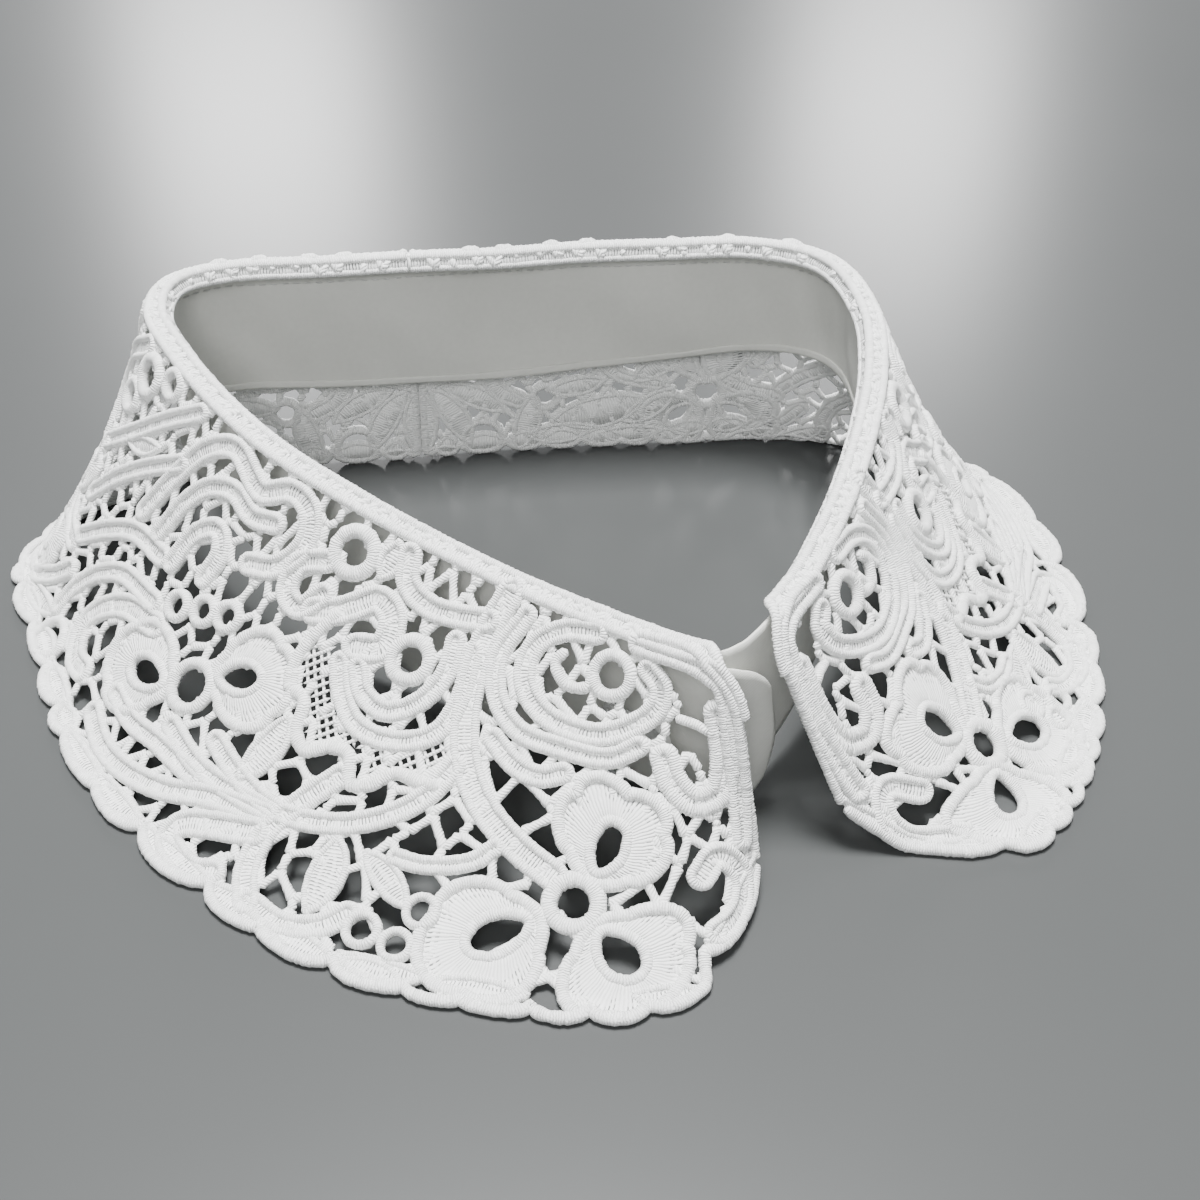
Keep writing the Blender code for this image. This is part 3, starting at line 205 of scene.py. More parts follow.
# Places on the lace are pairs: along, 0 at the front edge to 1 at the centre back, and drop, 0 at the neck
# to 1 at the hem. Both halves use the same tables
Cord = namedtuple("Cord", "name width strands route")
CORDS = [Cord(*row) for row in (
    ("front edge", 2.0, 2, ((0.075, 0.08), (0.040, 0.09), (0.020, 0.13), (0.012, 0.20), (0.012, 0.40),
        (0.014, 0.52), (0.018, 0.62), (0.023, 0.70))),
    ("corner lobe", 2.3, 2, ((0.067, 0.705), (0.053, 0.682), (0.040, 0.738), (0.036, 0.815), (0.047, 0.862),
        (0.066, 0.858))),
    ("front hook", 2.4, 2, ((0.021, 0.26), (0.022, 0.42), (0.034, 0.52), (0.056, 0.52), (0.070, 0.45),
        (0.073, 0.38))),
    ("hook brace", 1.6, 1, ((0.030, 0.33), (0.040, 0.30), (0.055, 0.275))),
    ("shell inner", 2.0, 2, ((0.070, 0.145), (0.062, 0.19), (0.070, 0.25), (0.096, 0.30), (0.124, 0.325),
        (0.152, 0.305), (0.170, 0.24), (0.168, 0.16), (0.146, 0.105), (0.116, 0.085))),
    ("shell outer", 1.8, 2, ((0.090, 0.345), (0.112, 0.375), (0.140, 0.37), (0.166, 0.355), (0.186, 0.29),
        (0.192, 0.20), (0.180, 0.10))),
    ("shell coil", 2.0, 1, ((0.121, 0.16), (0.124, 0.215), (0.140, 0.225), (0.150, 0.185),
        (0.142, 0.145))),
    ("shell fringe", 1.9, 2, ((0.137, 0.425), (0.150, 0.445), (0.164, 0.43), (0.180, 0.385))),
    ("main stem", 2.5, 2, ((0.200, 0.07), (0.207, 0.17), (0.205, 0.30), (0.195, 0.42), (0.178, 0.52),
        (0.157, 0.60), (0.137, 0.66))),
    ("cross stem", 2.0, 2, ((0.196, 0.47), (0.206, 0.56), (0.225, 0.64), (0.250, 0.70), (0.282, 0.735),
        (0.318, 0.72), (0.350, 0.69))),
    ("low stem", 1.6, 2, ((0.163, 0.62), (0.172, 0.665), (0.190, 0.695), (0.206, 0.70))),
    ("scroll outer", 2.2, 2, ((0.210, 0.145), (0.235, 0.165), (0.262, 0.175), (0.286, 0.150),
        (0.296, 0.09))),
    ("scroll first", 1.9, 2, ((0.213, 0.22), (0.209, 0.33), (0.216, 0.42), (0.240, 0.475), (0.268, 0.485),
        (0.290, 0.44), (0.305, 0.38))),
    ("scroll second", 1.9, 2, ((0.229, 0.215), (0.226, 0.29), (0.235, 0.37), (0.254, 0.425),
        (0.276, 0.415), (0.290, 0.37))),
    ("wave", 2.5, 1, ((0.197, 0.52), (0.212, 0.53), (0.228, 0.535), (0.240, 0.585), (0.252, 0.60),
        (0.262, 0.55), (0.276, 0.555), (0.290, 0.59), (0.304, 0.565), (0.312, 0.50), (0.330, 0.485),
        (0.336, 0.42), (0.333, 0.35), (0.325, 0.28))),
    ("snail", 2.6, 2, ((0.300, 0.335), (0.281, 0.305), (0.284, 0.24), (0.302, 0.215), (0.317, 0.255),
        (0.330, 0.29), (0.346, 0.315))),
    ("fall stem", 2.3, 2, ((0.260, 0.60), (0.271, 0.68), (0.279, 0.78), (0.275, 0.87), (0.262, 0.94))),
    ("hem curl", 2.2, 2, ((0.262, 0.93), (0.240, 0.935), (0.223, 0.90), (0.214, 0.85))),
    ("loop curl", 2.6, 2, ((0.285, 0.80), (0.310, 0.84), (0.327, 0.88), (0.326, 0.93), (0.303, 0.95),
        (0.290, 0.925))),
    ("crescent top", 2.2, 2, ((0.286, 0.755), (0.325, 0.795), (0.356, 0.85), (0.390, 0.885),
        (0.425, 0.895), (0.455, 0.87))),
    ("wing stem", 2.0, 2, ((0.388, 0.735), (0.350, 0.76), (0.315, 0.755), (0.285, 0.745))),
    ("wing low", 2.0, 2, ((0.450, 0.79), (0.420, 0.80), (0.385, 0.785), (0.345, 0.785))),
    ("tulip outer", 2.3, 2, ((0.552, 0.44), (0.540, 0.30), (0.522, 0.17), (0.492, 0.105), (0.462, 0.135),
        (0.444, 0.15), (0.420, 0.105), (0.395, 0.125), (0.384, 0.20), (0.396, 0.28), (0.420, 0.315))),
    ("tulip middle", 2.1, 2, ((0.520, 0.44), (0.512, 0.32), (0.496, 0.235), (0.470, 0.195),
        (0.442, 0.215), (0.418, 0.195))),
    ("tulip inner", 2.1, 2, ((0.488, 0.46), (0.484, 0.36), (0.466, 0.30), (0.450, 0.34), (0.450, 0.42))),
    ("bud", 2.2, 2, ((0.358, 0.20), (0.378, 0.24), (0.376, 0.31), (0.358, 0.33), (0.346, 0.27))),
    ("band one", 2.0, 2, ((0.548, 0.10), (0.585, 0.20), (0.625, 0.33), (0.662, 0.45))),
    ("band two", 2.0, 2, ((0.540, 0.25), (0.575, 0.34), (0.608, 0.45), (0.632, 0.57))),
    ("band three", 2.2, 2, ((0.500, 0.47), (0.545, 0.50), (0.580, 0.58), (0.606, 0.67))),
    ("side curl", 2.6, 2, ((0.462, 0.60), (0.500, 0.64), (0.524, 0.72), (0.530, 0.80), (0.512, 0.86),
        (0.494, 0.85))),
    ("side curl inner", 2.1, 2, ((0.478, 0.565), (0.525, 0.60), (0.555, 0.68), (0.570, 0.78),
        (0.572, 0.86))),
    ("side low", 2.2, 2, ((0.590, 0.76), (0.605, 0.83), (0.628, 0.90))),
    ("side scroll", 2.4, 2, ((0.664, 0.46), (0.676, 0.56), (0.668, 0.645), (0.640, 0.70), (0.612, 0.71))),
    ("back scroll", 2.4, 2, ((0.664, 0.10), (0.698, 0.20), (0.704, 0.34), (0.686, 0.46))),
    ("back arch", 2.2, 2, ((0.722, 0.10), (0.738, 0.23), (0.765, 0.30), (0.796, 0.27), (0.812, 0.17),
        (0.812, 0.09))),
    ("back arch low", 2.1, 2, ((0.708, 0.38), (0.742, 0.44), (0.790, 0.44), (0.832, 0.36), (0.848, 0.22),
        (0.850, 0.09))),
    ("back stem", 2.0, 2, ((0.796, 0.44), (0.800, 0.55), (0.775, 0.65), (0.735, 0.69))),
    ("back rise", 2.2, 2, ((0.806, 0.56), (0.850, 0.60), (0.888, 0.55), (0.900, 0.42), (0.893, 0.26),
        (0.900, 0.09))),
    ("back finger", 2.4, 2, ((0.910, 0.48), (0.924, 0.58), (0.912, 0.69), (0.890, 0.74))),
    ("centre stem", 2.0, 2, ((0.915, 0.26), (0.945, 0.33), (0.980, 0.43), (1.0, 0.52))),
    ("centre arch", 2.2, 2, ((0.935, 0.09), (0.950, 0.17), (0.975, 0.22), (1.0, 0.23))),
    ("centre arch low", 2.0, 2, ((0.932, 0.54), (0.955, 0.57), (0.980, 0.62), (1.0, 0.64))),
)]
Ring = namedtuple("Ring", "along drop radius width")
RINGS = [Ring(*row) for row in (
    (0.104, 0.175, 3.4, 2.2), (0.1276, 0.715, 3.9, 2.8), (0.256, 0.300, 3.5, 2.5),
    (0.341, 0.150, 3.8, 2.8), (0.397, 0.635, 4.3, 2.3), (0.408, 0.450, 2.4, 1.8),
    (0.431, 0.480, 2.4, 1.8), (0.456, 0.520, 2.4, 1.8), (0.184, 0.795, 2.5, 1.5),
    (0.548, 0.930, 4.6, 2.0), (0.640, 0.160, 3.6, 2.5),
    (0.600, 0.110, 2.6, 2.0), (0.765, 0.165, 3.6, 2.5), (0.680, 0.735, 3.7, 2.6),
    (0.874, 0.165, 3.0, 2.2), (0.932, 0.915, 4.4, 2.0), (0.956, 0.420, 3.0, 2.0),
    (0.860, 0.735, 2.9, 2.0), (0.870, 0.42, 3.2, 2.2), (0.204, 0.870, 2.6, 1.6), (0.188, 0.880, 2.4, 1.5),
    (0.655, 0.26, 3.0, 2.0), (0.720, 0.57, 3.0, 2.0),
)]
Petal = namedtuple("Petal", "along drop turn length width lobes")
PETALS = [Petal(*row) for row in (
    (0.1223, 0.677, -119, 17.8, 26.0, 4), (0.1211, 0.745, 125, 18.6, 24.0, 3),
    (0.1382, 0.744, 33, 19.3, 24.0, 3), (0.391, 0.590, -150, 17.0, 20.0, 3),
    (0.408, 0.672, 12, 18.5, 20.0, 3), (0.680, 0.700, -90, 15.0, 19.5, 3),
    (0.674, 0.765, 140, 15.0, 18.5, 3), (0.688, 0.765, 40, 15.0, 18.5, 3),
)]
Leaf = namedtuple("Leaf", "along drop turn length width")
LEAVES = [Leaf(*row) for row in (
    (0.316, 0.635, 86, 13.5, 6.4), (0.236, 0.800, 100, 13.0, 7.0), (0.190, 0.935, 5, 15.0, 5.0),
    (0.155, 0.935, 0, 14.0, 5.5), (0.206, 0.755, 150, 12.0, 5.2),
    (0.600, 0.905, 18, 16.0, 5.6), (0.735, 0.59, 40, 14.0, 6.0), (0.800, 0.80, 12, 20.0, 9.0),
    (0.845, 0.90, 5, 15.0, 6.0), (0.884, 0.85, 75, 15.0, 6.4), (1.0, 0.82, 90, 18.0, 6.4),
    (0.966, 0.80, 118, 17.0, 6.4), (0.940, 0.72, 150, 15.0, 6.0), (0.765, 0.92, 0, 14.0, 5.4),
    (0.725, 0.94, 0, 10.0, 5.0), (0.380, 0.945, 0, 16.0, 5.4), (0.430, 0.955, 0, 16.0, 5.0),
    (0.500, 0.935, 0, 14.0, 5.0), (0.245, 0.98, 0, 10.0, 4.0), (0.095, 0.945, 0, 10.0, 5.0),
    (0.640, 0.93, 5, 12.0, 5.4), (0.745, 0.79, 35, 14.0, 6.4), (0.600, 0.31, 30, 12.0, 4.4),
    (0.975, 0.96, 0, 9.0, 4.0), (0.825, 0.68, 10, 13.0, 5.4), (0.660, 0.88, 0, 9.0, 5.0),
    (0.700, 0.90, 0, 9.0, 5.0), (0.310, 0.125, 90, 7.0, 5.0),
)]
Notch = namedtuple("Notch", "along depth")
NOTCHES = [Notch(*row) for row in (
    (0.000, 4.5), (0.077, 2.6), (0.101, 2.8), (0.121, 3.2), (0.139, 2.0), (0.160, 1.3), (0.178, 1.6),
    (0.208, 3.6), (0.247, 1.8), (0.286, 4.6), (0.347, 4.8), (0.396, 1.6), (0.455, 1.8),
    (0.482, 4.6), (0.523, 2.8), (0.572, 2.6), (0.625, 4.2), (0.650, 1.6), (0.680, 2.2), (0.710, 1.6),
    (0.738, 3.6), (0.775, 1.6), (0.820, 3.4), (0.865, 2.4), (0.905, 3.6), (0.958, 3.4), (0.984, 2.0),
    (1.016, 2.0),
)]
NET = ((0.196, 0.42), (0.213, 0.43), (0.230, 0.475), (0.262, 0.50), (0.290, 0.475), (0.306, 0.41),
       (0.318, 0.33), (0.332, 0.37), (0.334, 0.45), (0.312, 0.49), (0.298, 0.57), (0.285, 0.58),
       (0.262, 0.53), (0.248, 0.58), (0.232, 0.55), (0.206, 0.51))
OPEN_PLACES = (
    ((0.040, 0.305), (0.050, 0.285), (0.056, 0.305), (0.049, 0.367), (0.047, 0.420), (0.042, 0.450),
     (0.034, 0.430), (0.031, 0.390), (0.031, 0.345)),
    ((0.043, 0.180), (0.031, 0.170), (0.029, 0.230), (0.030, 0.275), (0.045, 0.255)),
    ((0.063, 0.735), (0.070, 0.755), (0.072, 0.785), (0.068, 0.800), (0.062, 0.790), (0.059, 0.762)),
    ((0.066, 0.120), (0.057, 0.106), (0.044, 0.112), (0.040, 0.135), (0.046, 0.150), (0.055, 0.134)),
)


def smooth(rows, steps):
    """Catmull-Rom points through rows, with steps points to a row."""
    rows = np.asarray(rows, float)
    ends = np.vstack([2 * rows[0] - rows[1], rows, 2 * rows[-1] - rows[-2]])
    share = (np.arange(steps) / steps)[:, None]
    runs = []
    for i in range(1, len(ends) - 2):
        a, b, c, d = ends[i - 1:i + 3]
        runs.append(0.5 * (2 * b + (c - a) * share + (2 * a - 5 * b + 4 * c - d) * share ** 2
                           + (3 * b - a - 3 * c + d) * share ** 3))
    runs.append(ends[-2][None])
    return np.vstack(runs)


def unit(vectors):
    """The same vectors with a length of 1."""
    length = np.linalg.norm(vectors, axis=-1)
    return vectors / np.maximum(length, 1e-9)[..., None]


def run_along(points):
    """Distance run along a polyline at each of its points."""
    return np.r_[0, np.cumsum(np.linalg.norm(np.diff(points, axis=0), axis=1))]


def even(points, count):
    """The same polyline with count points at even distances."""
    points = np.asarray(points, float)
    run = run_along(points)
    marks = np.linspace(0, run[-1], count)
    return np.stack([np.interp(marks, run, column) for column in points.T], 1)


def section_points(section, square, count=97):
    """Underside of the lace at one section, from the inner lip over the roll to the hem, and its length.

    The roll lies square to the neckline, and the fall below it goes straight to the hem. The back stands on
    its hem, where the front and sides lie on the floor.
    """
    outward = np.array([section.hem_x - section.neck_x, section.hem_y - section.neck_y])
    reach = np.linalg.norm(outward)
    outward /= reach
    stands = BACK_LIFT * np.clip((BACK_FOOT + 0.5 - section.foot) / 0.5, 0, 1)
    reach -= stands
    foot_length = section.foot - stands
    slope = math.atan2(section.neck_z, reach - foot_length)
    top_slope = slope + math.radians(section.sag)
    low_slope = slope - math.radians(section.sag)
    angles = np.radians(np.linspace(ROLL_END_ANGLE, 90 - math.degrees(top_slope), 14))
    roll = np.stack([ROLL_RADIUS * np.cos(angles), section.neck_z + ROLL_RADIUS * np.sin(angles)], 1)
    foot = np.array([reach - foot_length, 0.0])
    handle = 0.35 * np.linalg.norm(foot - roll[-1])
    top_handle = roll[-1] + handle * np.array([math.cos(top_slope), -math.sin(top_slope)])
    low_handle = foot - handle * np.array([math.cos(low_slope), -math.sin(low_slope)])
    s = np.linspace(0, 1, 60)[1:, None]
    fall = ((1 - s) ** 3 * roll[-1] + 3 * (1 - s) ** 2 * s * top_handle
            + 3 * (1 - s) * s ** 2 * low_handle + s ** 3 * foot)
    fold = min(FOLD_RADIUS, 0.8 * foot_length)
    fall = fall[np.linalg.norm(fall - foot, axis=1) > fold]
    s = np.linspace(0, 1, 9)[1:, None]
    bend = (1 - s) ** 2 * fall[-1] + 2 * (1 - s) * s * foot + s ** 2 * (foot + np.array([fold, 0.0]))
    line = np.vstack([roll, fall, bend, [[reach, 0.0]]])
    profile = even(line, count)
    over_roll = np.minimum(profile[:, 0], roll[-1, 0])
    past_roll = profile[:, 0] - over_roll
    x = section.neck_x + square[0] * over_roll + outward[0] * past_roll - MIDDLE_X
    y = section.neck_y + square[1] * over_roll + outward[1] * past_roll - MIDDLE_Y
    return np.stack([x, y, profile[:, 1]], 1), run_along(line)[-1]


class Half:
    """One half of the lace's underside, read by along and drop, and by a height above it."""

    def __init__(self, side, rows=161, columns=97):
        dense = smooth(SECTIONS, 24)
        forward = unit(np.gradient(dense[:, :2], axis=0))
        dense = np.column_stack([dense, -forward[:, 1], forward[:, 0]])
        middle = BACK_ROW * 24
        dense = dense[:middle + 1] if side == "left" else dense[middle:][::-1]
        run = run_along(dense[:, :3])
        growth = LEFT_FRONT_GROWTH if side == "left" else 0.0
        share = np.linspace(0, 1, rows)
        marks = share * (run[-1] - growth) + growth * np.clip(share / GROWTH_END, 0, 1)
        dense = np.stack([np.interp(marks, run, column) for column in dense.T], 1)
        sections = [section_points(Section(*row[:7]), row[7:], columns) for row in dense]
        self.length = run[-1]
        self.front_cut = 0.0 if side == "left" else RIGHT_FRONT_CUT
        self.corner_cut = LEFT_CORNER_CUT if side == "left" else RIGHT_CORNER_CUT
        self.depth = np.array([length for points, length in sections])
        self.table = np.array([points for points, length in sections])
        normal = np.cross(np.gradient(self.table, axis=0), np.gradient(self.table, axis=1))
        self.normal = unit(normal * np.sign(normal[rows // 2, columns // 2, 2]))

    def read(self, table, along, drop):
        """Value of a table between its rows and columns."""
        rows, columns = self.table.shape[:2]
        x = np.clip(np.asarray(along, float), 0, 1) * (rows - 1)
        y = np.clip(np.asarray(drop, float), 0, 1) * (columns - 1)
        i = np.minimum(x.astype(int), rows - 2)
        j = np.minimum(y.astype(int), columns - 2)
        fx = (x - i)[..., None]
        fy = (y - j)[..., None]
        near = table[i, j] * (1 - fx) + table[i + 1, j] * fx
        far = table[i, j + 1] * (1 - fx) + table[i + 1, j + 1] * fx
        return near * (1 - fy) + far * fy

    def across(self, along, drop):
        return unit(self.read(self.normal, along, drop))

    def at(self, along, drop, height=0.0):
        """Place on the lace, height mm outside its underside."""
        return self.read(self.table, along, drop) + self.across(along, drop) * np.asarray(height)[..., None]

    def depth_at(self, along):
        return np.interp(along, np.linspace(0, 1, len(self.depth)), self.depth)

    def steps(self, along, drop):
        """For each place, the 2 x 3 matrix that turns mm in space into along and drop."""
        along = np.asarray(along, float)
        drop = np.asarray(drop, float)
        e = 0.004
        a0, a1 = np.maximum(along - e, 0), np.minimum(along + e, 1)
        d0, d1 = np.maximum(drop - e, 0), np.minimum(drop + e, 1)
        mid_a, mid_d = np.clip(along, 0, 1), np.clip(drop, 0, 1)
        by_along = (self.at(a1, mid_d) - self.at(a0, mid_d)) / (a1 - a0)[..., None]
        by_drop = (self.at(mid_a, d1) - self.at(mid_a, d0)) / (d1 - d0)[..., None]
        return np.linalg.pinv(np.stack([by_along, by_drop], -1))

    def place(self, along, drop, outline, turn):
        """An outline in mm, turned and laid round one place on the lace; x is to the back, y to the hem."""
        c, s = math.cos(math.radians(turn)), math.sin(math.radians(turn))
        x = outline[:, 0] * c - outline[:, 1] * s
        y = outline[:, 0] * s + outline[:, 1] * c
        step = self.steps(along, drop)
        down = unit(np.linalg.pinv(step)[:, 1])
        back = np.linalg.pinv(step)[:, 0]
        back = unit(back - down * (back @ down))
        return np.array([along, drop]) + np.outer(x, step @ back) + np.outer(y, step @ down)

    def hem(self, along):
        """Drop of the scalloped hem for each value of along."""
        along = np.asarray(along, float)
        cut = self.front_cut * np.clip(1 - along / FRONT_CUT_END, 0, 1)
        cut += self.corner_cut * np.clip((CORNER_CUT_END - along) / CORNER_RAMP, 0, 1)
        for a, b in zip(NOTCHES, NOTCHES[1:]):
            there = (along >= a.along) & (along <= b.along)
            x = (along[there] - a.along) / (b.along - a.along)
            scallop = np.clip(1 - (2 * x - 1) ** 2, 0, 1) ** 0.45
            cut[there] += (1 - scallop) * (a.depth * (1 - x) + b.depth * x)
        return 1 - cut / self.depth_at(along)

    def kept(self, places, margin=EDGE_KEPT):
        """The places moved in to margin mm inside the lace's edges, round the neck's front corner."""
        side = margin / self.length
        along = np.clip(places[:, 0], side, 1 - side)
        deep = self.depth_at(along)
        from_end = np.clip(NECK_CORNER - (along * self.length - margin), 0, NECK_CORNER)
        corner = NECK_CORNER - np.sqrt(NECK_CORNER ** 2 - from_end ** 2)
        drop = np.maximum(places[:, 1], np.where(corner > 0, corner + margin * (corner > 0.4), 0) / deep)
        drop = np.minimum(drop, self.hem(along) - margin / deep)
        return np.column_stack([along, drop, places[:, 2:]])

    def moved(self, places, x, y):
        """Places moved over the lace, by x mm to the right of the line and by y mm forward."""
        points = self.at(places[:, 0], places[:, 1])
        forward = unit(np.gradient(points, axis=0))
        side = unit(np.cross(self.across(places[:, 0], places[:, 1]), forward))
        shift = side * np.reshape(x, (-1, 1)) + forward * np.reshape(y, (-1, 1))
        return places + np.einsum("kij,kj->ki", self.steps(places[:, 0], places[:, 1]), shift)


def circle(radius, count=28):
    angle = np.linspace(0, 2 * math.pi, count, endpoint=False)
    return np.stack([np.cos(angle), np.sin(angle)], 1) * radius


def petal_rim(length, width, lobes, count=84):
    """Petal with its root at the origin and a lobed rim towards +x."""
    angle = np.linspace(-math.pi, math.pi, count, endpoint=False)
    x = 0.5 * length * np.cos(angle)
    y = 0.5 * width * np.sin(angle) * (0.81 + 0.19 * np.cos(angle))
    fan = np.clip(0.5 + 0.5 * angle / math.radians(PETAL_FAN), 0, 1)
    grow = 0.87 + 0.18 * np.abs(np.sin(math.pi * lobes * fan)) ** 0.6
    return np.stack([0.5 * length + x * grow, y * grow], 1)


def petal_hole(length, count=84):
    """Oval hole near the petal's root."""
    angle = np.linspace(-math.pi, math.pi, count, endpoint=False)
    x = 0.39 * length + 0.23 * length * np.cos(angle)
    y = 0.12 * length * np.sin(angle) * (1 + 0.12 * np.cos(angle))
    return np.stack([x, y], 1)


def leaf_spine(length, width, count=25):
    """Middle line of a leaf, slightly bowed, with its half widths."""
    x = np.linspace(-0.5, 0.5, count)
    round_off = np.clip(1 - (2 * x) ** 2, 0, 1)
    spine = np.stack([x * length, 0.05 * length * round_off], 1)
    return spine, np.maximum(0.5 * width * round_off ** 0.6, 0.4)


def laid_rim(half, petal):
    """A petal's rim laid on the lace."""
    rim = petal_rim(petal.length, petal.width, petal.lobes)
    return half.place(petal.along, petal.drop, rim, petal.turn)


def first_seed(kind, side):
    """First random seed of one kind of thread work on one half."""
    return SEEDS[kind][side == "right"]


def chance(*keys):
    """An even number from 0 to 1 that depends only on the keys."""
    return math.sin(sum((k + 1) * c for k, c in zip(keys, (12.9898, 78.233, 37.719)))) * 43758.5453 % 1


def inside(outline, points):
    """Which points lie inside a closed outline."""
    x, y = points[..., 0], points[..., 1]
    found = np.zeros(x.shape, bool)
    for (xa, ya), (xb, yb) in zip(outline, np.roll(outline, -1, axis=0)):
        crosses = ((ya > y) != (yb > y)) & (x < (xb - xa) * (y - ya) / (yb - ya + 1e-12) + xa)
        found ^= crosses
    return found


def bar_lines(half, holes):
    """Joining bars: an uneven honeycomb over the whole half, left out where it would cross a hole."""
    lines = []
    depth = half.depth.mean()
    row_step = BAR_CELL * 0.75
    column_step = BAR_CELL * math.sqrt(3) / 2

    def corner(i, j, end):
        """Corner of the honeycomb, shaken by up to a fifth of a cell."""
        x = (i + 0.5 * (j % 2)) * column_step
        y = j * row_step + (0.25 * BAR_CELL if end else 0.0)
        x += BAR_CELL * 0.4 * (chance(i, j, end) - 0.5)
        y += BAR_CELL * 0.4 * (chance(j, i, end + 2) - 0.5)
        return np.array([x / SPAN, y / depth])

    for j in range(int(depth / row_step) + 2):
        for i in range(-1, int(SPAN / column_step) + 2):
            low = corner(i, j, 1)
            for end in (corner(i, j, 0), corner(i - 1 + j % 2, j + 1, 0), corner(i + j % 2, j + 1, 0)):
                line = np.linspace(low, end, 7)
                if line.min() < 0.004 or line.max() > 0.996:
                    continue
                near = [hole for hole in holes if np.abs(hole.mean(0) - line[3]).max() < 0.15]
                if not any(inside(hole, line).any() for hole in near):
                    lines.append(line)
    return lines


def walked(half, route, step, closed):
    """The route in even steps, with its further columns, and the distance run at each step."""
    rows = np.vstack([route, route[:1]]) if closed else route
    run = run_along(half.at(rows[:, 0], rows[:, 1]))
    marks = np.linspace(0, run[-1], max(int(round(run[-1] / step)), 4) + 1)
    return np.stack([np.interp(marks, run, column) for column in rows.T], 1), marks


def sideways(base, up, closed):
    """Direction to the side of a line at each of its points."""
    forward = np.gradient(base, axis=0)
    if closed:
        forward[0] = forward[-1] = base[1] - base[-2]
    return unit(np.cross(forward, up))


def padded_cord(half, route, half_width, low, high, seed, closed=False, step=CORD_STEP, ribs=EVEN_RIBS,
                sides=CORD_SIDES, margin=EDGE_KEPT, tip=1.0):
    """Closed wall of a padded cord along a route over the lace, round at its ends, and its UV places."""
    drawn = np.random.default_rng(seed)
    route = np.column_stack([route, np.broadcast_to(half_width, len(route))])
    rows, marks = walked(half, half.kept(route, margin), step, closed)
    base = half.at(rows[:, 0], rows[:, 1])
    up = half.across(rows[:, 0], rows[:, 1])
    side = sideways(base, up, closed)
    swell = 1 + ribs * np.where(np.arange(len(rows)) % 2, 1, -1) + 0.045 * drawn.standard_normal(len(rows))
    if closed:
        swell[-1] = swell[0]
    width = rows[:, 2] * swell
    end = np.ones(len(rows))
    if not closed:
        from_end = np.minimum(marks, marks[-1] - marks) / (tip * rows[:, 2])
        end = np.sqrt(1 - (1 - np.minimum(from_end, 1)) ** 2)
    angle = np.linspace(0, 2 * math.pi, sides + 1)
    across = np.outer(width * end, np.cos(angle))
    height = 0.5 * (low + high) + 0.5 * (high - low) * np.outer(end * swell, np.sin(angle))
    points = base[:, None] + side[:, None] * across[..., None] + up[:, None] * height[..., None]
    places = np.stack(np.broadcast_arrays(marks[:, None], angle * rows[:, 2].mean()), -1)
    return points, places


def satin_fill(half, first, second, low, heights, closed=False, step=0.7, both=True, start=0.0, wave=0.06,
               margin=0.3, seed=0):
    """Closed wall of flat satin between two lines over the lace, and its UV places.

    The heights are those of its top, from the first line to the second. The second UV number is the distance
    in mm from the nearer line, or from the first one alone, less start.
    """
    drawn = np.random.default_rng(seed)
    middle = 0.5 * (first + second)
    rows, marks = walked(half, np.column_stack([middle, half.kept(first, margin), half.kept(second, margin)]),
                         step, closed)
    first, second = rows[:, 2:4], rows[:, 4:6]
    gap = np.linalg.norm(half.at(first[:, 0], first[:, 1]) - half.at(second[:, 0], second[:, 1]), axis=1)
    shares = np.linspace(0, 1, len(heights))
    lift = wave * drawn.standard_normal(len(rows))
    if closed:
        lift[-1] = lift[0]
    columns = []
    for share, height in list(zip(shares, heights)) + [(1, low), (0, low), (0, heights[0])]:
        place = first * (1 - share) + second * share
        top = height + lift if height > low else height
        reach = min(share, 1 - share) if both else share
        line = half.at(place[:, 0], place[:, 1], np.broadcast_to(top, len(place)))
        columns.append((line, reach * gap - start))
    points = np.stack([points for points, reach in columns], 1)
    across = np.stack([reach for points, reach in columns], 1)
    return points, np.stack(np.broadcast_arrays(marks[:, None], across), -1)


def around(half, route, reach, turns=7):
    """Closed line round a route, reach mm away, with round ends, and the two lines at its sides."""
    reach = np.broadcast_to(reach, len(route))
    left = half.moved(route, reach, 0 * reach)
    right = half.moved(route, -reach, 0 * reach)
    angle = np.linspace(0, math.pi, turns)[1:-1]
    front_cap = [half.moved(route, reach * math.cos(a), reach * math.sin(a))[-1] for a in angle]
    back_cap = [half.moved(route, -reach * math.cos(a), -reach * math.sin(a))[0] for a in angle]
    tip = turns // 2
    left_whole = np.vstack([back_cap[tip - 1:], left, front_cap[:tip]])
    right_whole = np.vstack([back_cap[:tip][::-1], right, front_cap[tip - 1:][::-1]])
    return np.vstack([left, front_cap, right[::-1], back_cap]), left_whole, right_whole


def mesh_from(shape, name):
    """Mesh of a bmesh, which is freed."""
    mesh = bpy.data.meshes.new(name)
    shape.to_mesh(mesh)
    shape.free()
    return mesh


def lay_thread(mesh, places):
    """UV map of mm along the thread and across it, from the place of each of the mesh's points."""
    corners = np.zeros(len(mesh.loops), np.int32)
    mesh.loops.foreach_get("vertex_index", corners)
    layer = mesh.uv_layers.new(name="thread")
    layer.data.foreach_set("uv", places[corners].astype(np.float32).ravel())


def add_piece(name, mesh, finish):
    """Object of a mesh with its finish, in the scene."""
    mesh.materials.append(finish)
    piece = bpy.data.objects.new(name, mesh)
    bpy.context.scene.collection.objects.link(piece)
    return piece


